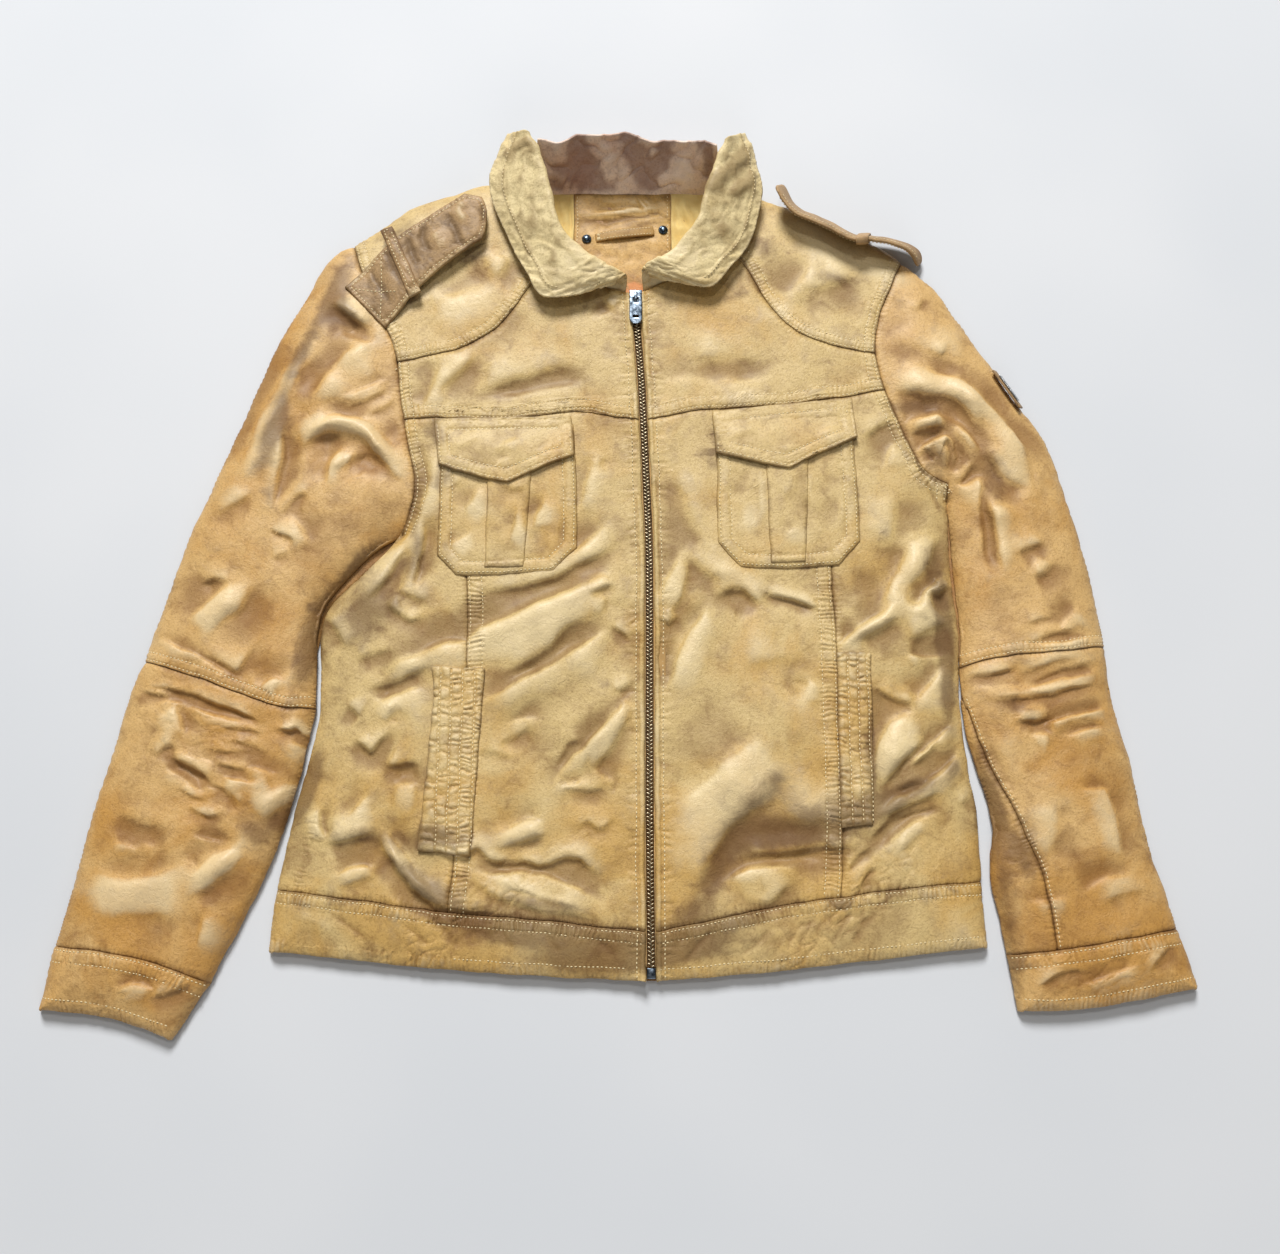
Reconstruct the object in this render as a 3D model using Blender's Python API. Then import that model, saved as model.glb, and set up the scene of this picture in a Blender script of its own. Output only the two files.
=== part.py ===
"""A worn leather jacket, laid on its back with the fronts zipped and the sleeves beside it.

Frame: +X to the right of the laid jacket as seen from above, +Y towards the collar, +Z up,
with the back lying on z = 0. Lengths in the tables are millimetres from a point on the
front, and FRAME moves that point so that the origin is in the middle of the bounds. "l" and
"r" are the sides seen from above.

The back of the garment is flat on the surface it lies on. Everything on top is cut from one
draped height per garment part (body, each sleeve): a soft crown that comes down to the rims,
with the largest folds laid over it. A piece is its outline, cut along the grid on which the
drape is linear, so pieces that lie on each other have parallel faces.
"""

import functools
import math

import bmesh
import bpy
from mathutils import Matrix, Vector

MM = 0.001
FRAME = Vector((0.5, -5.5, 0.0))

# Driving dimensions
WALL = 2.0  # leather with its backing
BACK_WALL = 2.0  # the layer that lies on the surface
SEAM_GAP = 0.3
GRID = 28.0  # spacing of the lines on which the drape bends
SNAP = 0.5  # an outline point this near a grid line counts as on it
CURVE_STEP = 20.0  # longest stretch of an upper outline between two points
FLAT_STEP = 45.0  # the same on the pieces that lie flat
CROWN = 15.0  # height of the body away from its rims
RIM_TOP = 4.7  # height of the upper wall where it meets the back
RIM_RADIUS = 46.0  # the drape rounds off over this width
RIM_FALL = 0.8  # slope of the drape past its rim
MOUTH_TOP = 7.5  # height of the upper wall at the hem and cuffs
EPAULETTE = 3.4  # two layers of leather and a filling
EPAULETTE_LIFT = 5.0  # the strap is sewn at its base only
FLAP = 2.4
ZIP_HALF = 5.0  # from the middle of the zip to the edge of the leather
CHAIN_HALF = 2.8
CHAIN_THICK = 2.4
CHAIN_SINK = 1.2  # the teeth lie this far below the leather
CHAIN_BOTTOM_Y = -331.0
TAPE_WIDTH = 11.0
TAPE_THICK = 0.8
ZIP_TOP_Y = 250.0  # where the zip meets the neck, the chest seam, the hem band and the hem
ZIP_CHEST_Y = 130.0
ZIP_HEM_Y = -304.0
ZIP_EDGE_Y = -342.0

# Seams and edges: x, y
ZIP_LINE = [(12, 250), (13, 222), (17, 170), (19, 130), (22, 60), (24, 0), (24, -216), (25, -342)]
NECK_LOW_L = [(7, 250), (-12, 254), (-30, 261), (-52, 272), (-68, 288)]
NECK_HIGH_L = [(-68, 288), (-78, 308), (-85, 334), (-88, 356)]
NECK_LOW_R = [(17, 250), (30, 256), (48, 266), (70, 280), (84, 300)]
NECK_HIGH_R = [(84, 300), (92, 318), (96, 338), (98, 356)]
SHOULDER_L = [
    (-88, 356), (-108, 361), (-129, 362), (-163, 349), (-194, 338), (-219, 317), (-243, 300),
]
SHOULDER_R = [(98, 356), (125, 349), (153, 337), (176, 328), (207, 309), (231, 301), (252, 284)]
YOKE_SEAM_L = [(-68, 288), (-81, 259), (-96, 236), (-115, 213), (-146, 196), (-170, 190), (-197, 184)]
YOKE_SEAM_R = [(84, 300), (108, 282), (122, 253), (141, 224), (167, 206), (200, 196), (223, 192)]
ARMHOLE_YOKE_L = [(-243, 300), (-228, 258), (-209, 217), (-201, 201), (-197, 184)]
ARMHOLE_CHEST_L = [(-197, 184), (-194, 155), (-190, 130)]
ARMHOLE_SIDE_L = [(-190, 130), (-183, 99), (-177, 73), (-180, 50), (-188, 27)]
ARMHOLE_YOKE_R = [(252, 284), (241, 259), (231, 235), (225, 216), (223, 192)]
ARMHOLE_CHEST_R = [(223, 192), (225, 175), (229, 158)]
ARMHOLE_SIDE_R = [(229, 158), (242, 125), (252, 101), (258, 84), (268, 76), (281, 72)]
CHEST_SEAM_OUT_L = [(-190, 130), (-164, 132), (-127, 130)]
CHEST_SEAM_IN_L = [(-127, 130), (-95, 130), (-77, 134), (-25, 138), (-8, 133), (14, 130)]
CHEST_SEAM_IN_R = [(24, 130), (36, 132), (59, 138), (97, 141), (149, 144), (172, 149)]
CHEST_SEAM_OUT_R = [(172, 149), (200, 152), (229, 158)]
PRINCESS_L = [(-127, 130), (-130, 60), (-130, -11), (-128, -92), (-131, -170), (-134, -246), (-138, -289)]
PRINCESS_R = [(172, 149), (177, 70), (178, 0), (180, -78), (180, -218), (176, -277)]
HEM_SEAM_OUT_L = [(-277, -271), (-206, -280), (-138, -289)]
HEM_SEAM_IN_L = [(-138, -289), (-43, -297), (19.4, -304)]
HEM_SEAM_IN_R = [(29.4, -304), (60, -298), (126, -284), (176, -277)]
HEM_SEAM_OUT_R = [(176, -277), (236, -269), (291, -265)]
HEM_EDGE_L = [(-280, -319), (-200, -327), (-100, -336), (20, -342)]
HEM_EDGE_R = [(30, -342), (120, -335), (200, -326), (293, -316)]
SIDE_L = [
    (-188, 27), (-203, 9), (-228, -16), (-250, -41), (-252, -79), (-249, -129), (-257, -170),
    (-265, -205), (-272, -245), (-277, -271),
]
SIDE_R = [
    (281, 72), (280, 18), (281, -21), (284, -58), (281, -114), (283, -150), (288, -190),
    (291, -215), (291, -265),
]
HEM_SIDE_L = [(-277, -271), (-280, -319)]
HEM_SIDE_R = [(291, -265), (293, -316)]
SLEEVE_OUT_HIGH_L = [
    (-243, 300), (-255, 297), (-266, 284), (-275, 269), (-283, 247), (-304, 208), (-326, 146),
    (-356, 63), (-373, 15), (-399, -84),
]
SLEEVE_OUT_LOW_L = [(-399, -84), (-408, -108), (-417, -151), (-432, -218), (-443, -280), (-451, -315)]
SLEEVE_IN_HIGH_L = [
    (-188, 27), (-206, 19), (-222, 3), (-241, -18), (-256, -43), (-257, -79), (-255, -123),
]
SLEEVE_IN_LOW_L = [(-255, -123), (-263, -170), (-273, -212), (-284, -249), (-299, -284), (-327, -343)]
ELBOW_L = [(-399, -84), (-350, -99), (-317, -111), (-292, -121), (-273, -125), (-255, -123)]
CUFF_SEAM_L = [(-451, -315), (-418, -318), (-391, -322), (-365, -328), (-327, -343)]
CUFF_OUT_L = [(-451, -315), (-459, -364)]
CUFF_IN_L = [(-327, -343), (-353, -386)]
CUFF_EDGE_L = [(-459, -364), (-427, -366), (-396, -371), (-374, -379), (-353, -386)]
SLEEVE_OUT_HIGH_R = [
    (252, 284), (279, 259), (296, 231), (330, 175), (349, 144), (362, 126), (374, 98), (384, 58),
    (398, -6), (406, -71),
]
SLEEVE_OUT_LOW_R = [
    (406, -71), (407, -108), (412, -135), (419, -165), (427, -230), (436, -262), (446, -302),
]
SLEEVE_IN_HIGH_R = [(281, 72), (284, 18), (285, -21), (288, -58), (285, -88)]
SLEEVE_IN_MID_R = [(285, -88), (285, -115)]
# Under the arms the back of each sleeve reaches the side of the body
UNDERARM_L = [(-188, 27), (-203, 9), (-228, -16), (-250, -41), (-257, -79), (-255, -123)]
UNDERARM_R = [(281, 72), (280, 18), (281, -21), (284, -58), (285, -88)]
SLEEVE_IN_LOW_R = [
    (285, -115), (287, -145), (294, -170), (300, -194), (306, -224), (301, -242), (300, -262),
    (305, -286), (310, -322),
]
ELBOW_R = [(406, -71), (364, -77), (323, -80), (285, -88)]
FOREARM_SEAM_R = [
    (285, -115), (292, -140), (303, -173), (318, -203), (328, -231), (337, -255), (342, -278),
    (346, -318),
]
CUFF_SEAM_OUT_R = [(446, -302), (408, -308), (368, -315), (346, -318)]
CUFF_SEAM_IN_R = [(346, -318), (310, -322)]
CUFF_OUT_R = [(446, -302), (458, -347)]
CUFF_IN_R = [(310, -322), (316, -364)]
CUFF_EDGE_R = [(458, -347), (407, -357), (367, -363), (343, -365), (316, -364)]

# Pieces that lie on the panels: x, y
POCKET_L = [
    (-156, 122), (-156, 8), (-139, -10), (-103, -10), (-57, -6), (-38, 14), (-38, 60), (-42, 124),
]
POCKET_R = [(82, 130), (83, 18), (101, -3), (140, -5), (184, -1), (203, 20), (203, 60), (198, 143)]
PLEAT_L = [(-114, 112), (-115, -4), (-83, -3), (-80, 35), (-77, 113)]
PLEAT_R = [(124, 122), (127, 0), (156, 1), (159, 50), (161, 126)]
FLAP_L = [(-163, 130), (-157, 87), (-122, 76), (-97, 71), (-72, 84), (-41, 96), (-44, 132)]
FLAP_R = [(79, 137), (82, 98), (120, 89), (144, 84), (165, 95), (203, 112), (201, 149)]
WELT_L = [(-157, -90), (-153, -111), (-156, -155), (-159, -199), (-163, -240), (-121, -245), (-113, -91)]
WELT_R = [(180, -78), (179, -222), (204, -219), (206, -170), (208, -78)]
EPAULETTE_L = [
    (-246, 254), (-223, 279), (-204, 298), (-170, 322), (-142, 342), (-126, 338), (-121, 328),
    (-121, 309), (-125, 298), (-138, 290), (-168, 266), (-186, 246), (-209, 216),
]
CLIP_L = [(-216, 306), (-206, 309), (-178, 247), (-187, 242)]

# Large folds: x0, y0, x1, y1, half width, height (a trough is negative)
FOLDS = [
    (-174, 52, -246, -42, 20, 5),
    (-166, 45, -178, -20, 16, -3),
    (-204, -87, -130, -67, 22, 4),
    (-206, -109, -153, -92, 16, -3),
    (-200, -220, -140, -285, 20, -4),
    (-236, -232, -203, -220, 18, 3),
    (-118, -23, -41, -5, 18, -3),
    (-114, -62, 2, -12, 22, 5),
    (-118, -122, -10, -66, 22, 5),
    (-103, -155, -73, -139, 18, -3),
    (-46, -162, 8, -111, 20, 4),
    (-116, -250, -34, -250, 18, -4),
    (-34, -250, 0, -275, 16, -3),
    (84, -29, 170, -36, 22, -3),
    (62, -194, 157, -110, 32, 5),
    (136, -176, 72, -246, 26, -5),
    (104, -255, 147, -243, 18, 3),
    (190, -68, 280, -5, 22, 4),
    (255, -92, 218, -120, 18, -3),
    (230, -196, 286, -156, 20, 3),
    (-283, 139, -250, 178, 20, 4),
    (-278, 106, -195, 90, 18, -4),
    (-290, 125, -300, 50, 20, -3),
    (-345, 120, -372, 0, 30, 3),
    (-395, -110, -265, -150, 16, -3),
    (-350, -200, -380, -290, 28, 3),
    (280, 160, 356, 72, 22, 5),
    (246, 127, 290, 122, 18, 4),
    (314, 78, 312, 28, 18, 4),
    (316, 92, 352, 66, 16, -4),
    (300, -100, 395, -94, 16, -3),
    (350, -160, 390, -270, 30, 3),
]

# Collar, from the back round to the zip: where it is sewn, its roll and its edge
# sewn x, y | roll x, y, z | edge x, y, z
LEAF_L = [
    (-86, 366, -83, 386, 50, -103, 397, 33),
    (-84, 353, -74, 371, 49, -110, 384, 30),
    (-82, 338, -68, 352, 47, -118, 364, 27),
    (-79, 324, -64, 335, 46, -119, 347, 25),
    (-76, 311, -60, 318, 45, -114, 328, 24),
    (-70, 299, -56, 304, 44, -104, 305, 24),
    (-64, 290, -50, 293, 42, -94, 282, 24),
    (-54, 281, -40, 285, 40, -83, 262, 24),
    (-43, 275, -31, 277, 38, -71, 241, 24),
    (-29, 268, -22, 270, 35, -48, 240, 24),
    (-14, 261, -10, 264, 32, -25, 251, 24),
    (0, 257, 1, 259, 28, -7, 259, 24),
]
LEAF_R = [
    (96, 366, 92, 378, 51, 110, 396, 36),
    (94, 353, 85, 364, 50, 118, 380, 32),
    (92, 338, 80, 347, 48, 122, 364, 29),
    (90, 324, 75, 332, 47, 126, 345, 26),
    (86, 311, 69, 311, 45, 122, 323, 24),
    (80, 300, 63, 300, 43, 117, 303, 24),
    (72, 290, 56, 292, 41, 109, 286, 24),
    (62, 281, 48, 282, 39, 96, 269, 24),
    (51, 275, 40, 273, 37, 80, 254, 24),
    (40, 269, 33, 268, 34, 60, 254, 24),
    (29, 264, 27, 265, 31, 42, 262, 24),
    (22, 261, 22, 263, 28, 29, 267, 24),
]
LEAF_ACROSS = 8  # points from the seam over the roll to the edge
LEAF_BULGE = 3.0
# Back of the collar, standing open: x and y at the foot | x, y and z at the top
COLLAR_BACK = [
    (-80, 359, -75, 382, 49),
    (-60, 358, -57, 380, 47),
    (-38, 359, -36, 384, 50),
    (-16, 358, -15, 386, 50),
    (6, 359, 5, 384, 52),
    (28, 358, 27, 379, 49),
    (50, 359, 49, 381, 47),
    (70, 358, 68, 378, 50),
    (90, 359, 84, 374, 51),
]
COLLAR_BACK_FOOT = 3.4
COLLAR_BACK_UP = 4  # points from the foot to the top

# The right epaulette stands on its edge behind the shoulder: upper x, y, z | lower x, y, z
EPAULETTE_R = [
    (265, 278, 9, 271, 285, 5),
    (257, 285, 21, 267, 297, 5),
    (243, 291, 31, 252, 310, 5),
    (219, 295, 34, 227, 315, 5),
    (205, 297, 34, 213, 317, 5),
    (179, 311, 34, 187, 332, 6),
    (151, 324, 35, 160, 344, 7),
    (136, 343, 37, 147, 359, 14),
]
CLIP_R_REACH = 16.0

# Inside of the back neck: x, y
NECK_EDGE_Y = 356
FACING = [(-44, 238), (-44, 354), (44, 354), (44, 238)]
LINING_L = [(-92, 238), (-84, 354), (-44.3, 354), (-44.3, 238)]
LINING_R = [(44.3, 238), (44.3, 354), (94, 354), (102, 238)]
FACING_WALL = 1.6
HANGER_LINE = [(-25, 309), (-14, 311), (2, 313), (18, 315), (29, 317)]
HANGER_RISE = [0.3, 2.2, 2.8, 2.2, 0.3]
HANGER_WIDTH = 9.0
HANGER_WALL = 1.5
STUD_RADIUS = 4.0
STUD_HEIGHT = 2.0
HANGER_STUDS = {"hanger_stud_l": (-32.5, 308.5), "hanger_stud_r": (37, 317.5)}

# Zip slider and its pull tab
SLIDER_TOP_Y = 252.0
SLIDER_LENGTH = 15.0
SLIDER_BEVEL = 0.4
SLIDER_CORE_HALF = 4.6  # between the leather edges
SLIDER_CORE_THICK = 4.0
SLIDER_PLATE_HALF = 5.6
SLIDER_PLATE_THICK = 1.4
SLIDER_PLATE_RISE = 0.5  # underside of the plate above the leather
TAB_AXIS_BACK = 7.5  # from the slider's top end to the tab's axis
TAB_AXIS_RISE = 1.3  # above the plate
BRIDGE_HALF_WIDTH = 1.3
BRIDGE_OUTER = [(-4.5, -0.5), (-4.5, 1.7), (-3.2, 3.5), (3.2, 3.5), (4.5, 1.7), (4.5, -0.5)]
BRIDGE_INNER = [(3.6, -0.5), (3.6, 1.4), (2.6, 2.6), (-2.6, 2.6), (-3.6, 1.4), (-3.6, -0.5)]
TAB_SIZE = (11.2, 26.5, 1.4)
TAB_BEVEL = 0.3
TAB_BAR = 0.7  # half the bar that turns under the bridge
TAB_EYE = (4.2, 4.6)
TAB_SLOT = (5.0, 2.4)
TAB_SLOT_BACK = 19.0
STOP_SIZE = (7.2, 8.6, 3.0)
STOP_Y = -335.8
STOP_SINK = 0.6
STOP_BEVEL = 0.5

# Badge on the edge of the right upper sleeve, standing against its rim
BADGE_CENTRE = (338.3, 159.2, 12.0)
BADGE_TURN = -58.5
BADGE_TILT = 58.0
BADGE_SIZE = (41.0, 12.5, 1.8)
PLATE_SIZE = (27.0, 8.5, 1.2)
PLATE_BEVEL = 0.3


def clear_scene():
    for item in list(bpy.data.objects):
        bpy.data.objects.remove(item, do_unlink=True)


def material(name, colour, roughness, metallic=0.0):
    """A Principled material of an sRGB hex colour."""
    made = bpy.data.materials.new(name)
    made.use_nodes = True
    shader = made.node_tree.nodes["Principled BSDF"]
    levels = [int(colour[k : k + 2], 16) / 255 for k in (1, 3, 5)]
    linear = [v / 12.92 if v <= 0.04045 else ((v + 0.055) / 1.055) ** 2.4 for v in levels]
    shader.inputs["Base Color"].default_value = (*linear, 1.0)
    shader.inputs["Roughness"].default_value = roughness
    shader.inputs["Metallic"].default_value = metallic
    return made


def add_object(name, bm, colour, roughness=0.45, metallic=0.0):
    """The bmesh, given in millimetres, as a named object in metres."""
    bmesh.ops.recalc_face_normals(bm, faces=bm.faces[:])
    bmesh.ops.scale(bm, vec=(MM, MM, MM), verts=bm.verts[:])
    mesh = bpy.data.meshes.new(name)
    bm.to_mesh(mesh)
    bm.free()
    made = bpy.data.objects.new(name, mesh)
    made.location = FRAME * MM
    mesh.materials.append(material(name, colour, roughness, metallic))
    bpy.context.scene.collection.objects.link(made)
    return made


def smooth(points, step=CURVE_STEP):
    """A curve through the points of a seam, with a point at least every step."""
    if len(points) == 2:
        ends = points
        count = max(1, math.ceil(math.dist(*ends) / step))
        return [tuple(a + (b - a) * k / count for a, b in zip(*ends)) for k in range(count + 1)]
    padded = [points[0], *points, points[-1]]
    line = []
    for before, start, end, after in zip(padded, padded[1:], padded[2:], padded[3:]):
        count = max(1, math.ceil(math.dist(start, end) / step))
        for k in range(count):
            t = k / count
            line.append(
                tuple(
                    b + t * ((c - a) / 2 + t * ((2 * a - 5 * b + 4 * c - d) / 2
                    + t * (3 * b - a - 3 * c + d) / 2))
                    for a, b, c, d in zip(before, start, end, after)
                )
            )
    return [*line, tuple(points[-1])]


def back(points):
    return list(reversed(points))


def loop(*seams, step=CURVE_STEP):
    """A closed outline from seams that follow each other, anticlockwise."""
    outline = []
    for seam in seams:
        line = smooth(seam, step)
        outline += [p for p in line if not outline or math.dist(p, outline[-1]) > 0.5]
    if math.dist(outline[0], outline[-1]) < 0.5:
        outline.pop()
    turns = sum(a[0] * b[1] - a[1] * b[0] for a, b in zip(outline, outline[1:] + outline[:1]))
    return outline if turns > 0 else back(outline)


def shrunk(outline, gap):
    """The outline moved inwards by a gap."""
    moved = []
    for before, here, after in zip(outline[-1:] + outline[:-1], outline, outline[1:] + outline[:1]):
        arrive = (Vector(here) - Vector(before)).normalized()
        leave = (Vector(after) - Vector(here)).normalized()
        inwards = Vector((-arrive.y - leave.y, arrive.x + leave.x)).normalized()
        spread = max(0.5, inwards.dot(Vector((-leave.y, leave.x))))
        moved.append(tuple(Vector(here) + inwards * gap / spread))
    return moved


def zip_x(y):
    """The middle of the zip at a height up the front."""
    for upper, lower in zip(ZIP_LINE, ZIP_LINE[1:]):
        if y >= lower[1]:
            return upper[0] + (lower[0] - upper[0]) * (upper[1] - y) / (upper[1] - lower[1])
    return ZIP_LINE[-1][0]


def zip_edge(side, top, bottom):
    """The leather edge beside the zip, from its top down."""
    stops = [top, *[y for _, y in ZIP_LINE if bottom < y < top], bottom]
    return [(zip_x(y) + side, y) for y in stops]


def near_line(point, line):
    """The distance from a point to a line of points."""
    best = math.inf
    for start, end in zip(line, line[1:]):
        run = Vector(end) - Vector(start)
        t = max(0.0, min(1.0, (Vector(point) - Vector(start)).dot(run) / run.length_squared))
        best = min(best, (Vector(start) + run * t - Vector(point)).length)
    return best


def inside(point, outline):
    x, y = point
    hit = False
    for (x0, y0), (x1, y1) in zip(outline, outline[1:] + outline[:1]):
        if (y0 > y) != (y1 > y) and x < x0 + (y - y0) * (x1 - x0) / (y1 - y0):
            hit = not hit
    return hit


def fold_height(x, y):
    """The folds and troughs at a place, together."""
    total = 0.0
    for x0, y0, x1, y1, half, height in FOLDS:
        away = near_line((x, y), [(x0, y0), (x1, y1)])
        total += height * math.exp(-((away / half) ** 2))
    return total


class Drape:
    """The height of the upper layer of one garment part, linear within a triangular grid."""

    def __init__(self, outline, rims, armhole, crown):
        self.outline = outline
        self.rims = [(smooth(line), top) for line, top in rims]
        self.armholes = [smooth(line) for line in armhole]
        self.crown = crown
        self.at_node = functools.lru_cache(maxsize=None)(self.node_height)

    def node_height(self, column, row):
        x, y = column * GRID, row * GRID
        away = [(near_line((x, y), line), top) for line, top in self.rims]
        distance, top = min(away)
        past_rim = distance < min(near_line((x, y), line) for line in self.armholes)
        if past_rim and not inside((x, y), self.outline):
            return top - RIM_FALL * distance
        full = self.crown + fold_height(x, y)
        heights = []
        for distance, top in away:
            share = min(1.0, distance / RIM_RADIUS)
            heights.append(top + (full - top) * math.sqrt(1 - (1 - share) ** 2))
        return min(heights)

    def height(self, x, y):
        u, v = x / GRID, y / GRID
        column, row = math.floor(u), math.floor(v)
        s, t = u - column, v - row
        low, high = self.at_node(column, row), self.at_node(column + 1, row + 1)
        if s >= t:
            corner = self.at_node(column + 1, row)
            found = low + s * (corner - low) + t * (high - corner)
        else:
            corner = self.at_node(column, row + 1)
            found = low + t * (corner - low) + s * (high - corner)
        return max(found, RIM_TOP)


class Overlay:
    """The higher of two drapes, for what lies across the seam between them."""

    def __init__(self, *drapes):
        self.drapes = drapes

    def height(self, x, y):
        return max(drape.height(x, y) for drape in self.drapes)


def cut_on_grid(bm):
    """Cuts a flat face along the three families of grid lines."""
    xs = [v.co.x for v in bm.verts]
    ys = [v.co.y for v in bm.verts]
    families = [
        (Vector((1, 0, 0)), min(xs), max(xs), 1.0),
        (Vector((0, 1, 0)), min(ys), max(ys), 1.0),
        (Vector((1, -1, 0)).normalized(), min(xs) - max(ys), max(xs) - min(ys), math.sqrt(0.5)),
    ]
    for normal, low, high, scale in families:
        for k in range(math.floor(low / GRID), math.ceil(high / GRID) + 1):
            bmesh.ops.bisect_plane(
                bm,
                geom=bm.verts[:] + bm.edges[:] + bm.faces[:],
                dist=SNAP,
                plane_co=normal * k * GRID * scale,
                plane_no=normal,
            )


def thicken_down(bm, thickness):
    """Gives a sheet its wall by extruding it straight down."""
    grown = bmesh.ops.extrude_face_region(bm, geom=bm.faces[:])["geom"]
    lower = [item for item in grown if isinstance(item, bmesh.types.BMVert)]
    bmesh.ops.translate(bm, vec=(0, 0, -thickness), verts=lower)


def draped(name, outline, drape, lift, thickness, colour, **finish):
    """A piece of the upper layer: its outline laid on the drape and lifted."""
    bm = bmesh.new()
    corners = [bm.verts.new((x, y, 0.0)) for x, y in shrunk(outline, SEAM_GAP / 2)]
    bm.faces.new(corners)
    cut_on_grid(bm)
    bmesh.ops.triangulate(bm, faces=bm.faces[:])
    for vert in bm.verts:
        vert.co.z = drape.height(vert.co.x, vert.co.y) + lift
    thicken_down(bm, thickness)
    return add_object(name, bm, colour, **finish)


def flat(name, outline, bottom, thickness, colour, **finish):
    """A flat piece."""
    bm = bmesh.new()
    top = bottom + thickness
    corners = [bm.verts.new((x, y, top)) for x, y in shrunk(outline, SEAM_GAP / 2)]
    bm.faces.new(corners)
    thicken_down(bm, thickness)
    return add_object(name, bm, colour, **finish)


def lofted(name, sections, thickness, colour, offset=0.0, **finish):
    """A curved wall through sections of equally many points."""
    bm = bmesh.new()
    across = len(sections[0])
    bmesh.ops.create_grid(bm, x_segments=across - 1, y_segments=len(sections) - 1, size=1.0)
    places = [point for section in sections for point in section]
    for vert, place in zip(bm.verts, places):
        vert.co = place
    made = add_object(name, bm, colour, **finish)
    wall = made.modifiers.new("Wall", "SOLIDIFY")
    wall.thickness = thickness * MM
    wall.offset = offset
    wall.use_even_offset = True
    made.data.shade_smooth()
    return made


def evenly(points, count):
    """Count points spread evenly along the curve through the given ones."""
    line = [Vector(p) for p in smooth(points, 2.0)]
    lengths = [0.0]
    for start, end in zip(line, line[1:]):
        lengths.append(lengths[-1] + (end - start).length)
    found = []
    for k in range(count):
        target = lengths[-1] * k / (count - 1)
        i = min(len(line) - 2, max(j for j in range(len(lengths)) if lengths[j] <= target + 1e-6))
        share = (target - lengths[i]) / max(1e-6, lengths[i + 1] - lengths[i])
        found.append(line[i].lerp(line[i + 1], min(1.0, share)))
    return found


def add_box(name, size, place, bevel, colour, **finish):
    """A box with rounded edges, turned and moved to its place."""
    bm = bmesh.new()
    bmesh.ops.create_cube(bm, size=1.0, matrix=Matrix.Diagonal((*size, 1.0)))
    if bevel:
        bmesh.ops.bevel(
            bm, geom=bm.edges[:], offset=bevel, segments=1, profile=0.5, affect="EDGES", material=-1
        )
    bmesh.ops.transform(bm, matrix=place, verts=bm.verts[:])
    return add_object(name, bm, colour, **finish)


def add_profile(name, outline, width, place, colour, **finish):
    """An outline in Y and Z given a width along X."""
    bm = bmesh.new()
    face = bm.faces.new([bm.verts.new((-width / 2, y, z)) for y, z in outline])
    grown = bmesh.ops.extrude_face_region(bm, geom=[face])["geom"]
    far = [item for item in grown if isinstance(item, bmesh.types.BMVert)]
    bmesh.ops.translate(bm, vec=(width, 0, 0), verts=far)
    bmesh.ops.transform(bm, matrix=place, verts=bm.verts[:])
    return add_object(name, bm, colour, **finish)


def boolean(target, other, operation):
    """Joins or cuts one object with another, which is then a hidden guide."""
    step = target.modifiers.new(other.name, "BOOLEAN")
    step.operation = operation
    step.object = other
    other.hide_render = True
    other.display_type = "WIRE"


HONEY = "#C9A063"
PALE_HONEY = "#CFAF76"
ORANGE_TAN = "#BE8B45"
DEEP_TAN = "#B98538"
OLIVE_TAN = "#8A6A40"
DARK_SKIN = "#7A5A44"
FACING_TAN = "#C79A55"
GOLD_LINING = "#C9A44F"
OLD_BRASS = "#5A5243"
TAPE_KHAKI = "#8A7A55"
BLUE_STEEL = "#6F7F8C"
DARK_STEEL = "#4E5863"
PALE_STEEL = "#A8A8A8"
STEEL_FINISH = {"roughness": 0.35, "metallic": 1.0}

ARMHOLE_L = [ARMHOLE_YOKE_L, ARMHOLE_CHEST_L, ARMHOLE_SIDE_L]
ARMHOLE_R = [ARMHOLE_YOKE_R, ARMHOLE_CHEST_R, ARMHOLE_SIDE_R]
BODY_OUTLINE = loop(
    SHOULDER_L, ARMHOLE_YOKE_L, ARMHOLE_CHEST_L, ARMHOLE_SIDE_L, SIDE_L, HEM_SIDE_L, HEM_EDGE_L,
    HEM_EDGE_R, back(HEM_SIDE_R), back(SIDE_R), back(ARMHOLE_SIDE_R), back(ARMHOLE_CHEST_R),
    back(ARMHOLE_YOKE_R), back(SHOULDER_R),
)
SLEEVE_OUTLINE_L = loop(
    ARMHOLE_YOKE_L, ARMHOLE_CHEST_L, ARMHOLE_SIDE_L, SLEEVE_IN_HIGH_L, SLEEVE_IN_LOW_L, CUFF_IN_L,
    back(CUFF_EDGE_L), back(CUFF_OUT_L), back(SLEEVE_OUT_LOW_L), back(SLEEVE_OUT_HIGH_L),
)
SLEEVE_OUTLINE_R = loop(
    ARMHOLE_YOKE_R, ARMHOLE_CHEST_R, ARMHOLE_SIDE_R, SLEEVE_IN_HIGH_R, SLEEVE_IN_MID_R,
    SLEEVE_IN_LOW_R, CUFF_IN_R, back(CUFF_EDGE_R), back(CUFF_OUT_R), back(SLEEVE_OUT_LOW_R),
    back(SLEEVE_OUT_HIGH_R),
)
BODY = Drape(
    BODY_OUTLINE,
    [
        (SHOULDER_L, RIM_TOP), (SHOULDER_R, RIM_TOP), (SIDE_L, RIM_TOP), (SIDE_R, RIM_TOP),
        (HEM_SIDE_L, RIM_TOP), (HEM_SIDE_R, RIM_TOP), (HEM_EDGE_L, MOUTH_TOP),
        (HEM_EDGE_R, MOUTH_TOP),
    ],
    [*ARMHOLE_L, *ARMHOLE_R],
    CROWN,
)
SLEEVE_CROWN = 19.0
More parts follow.
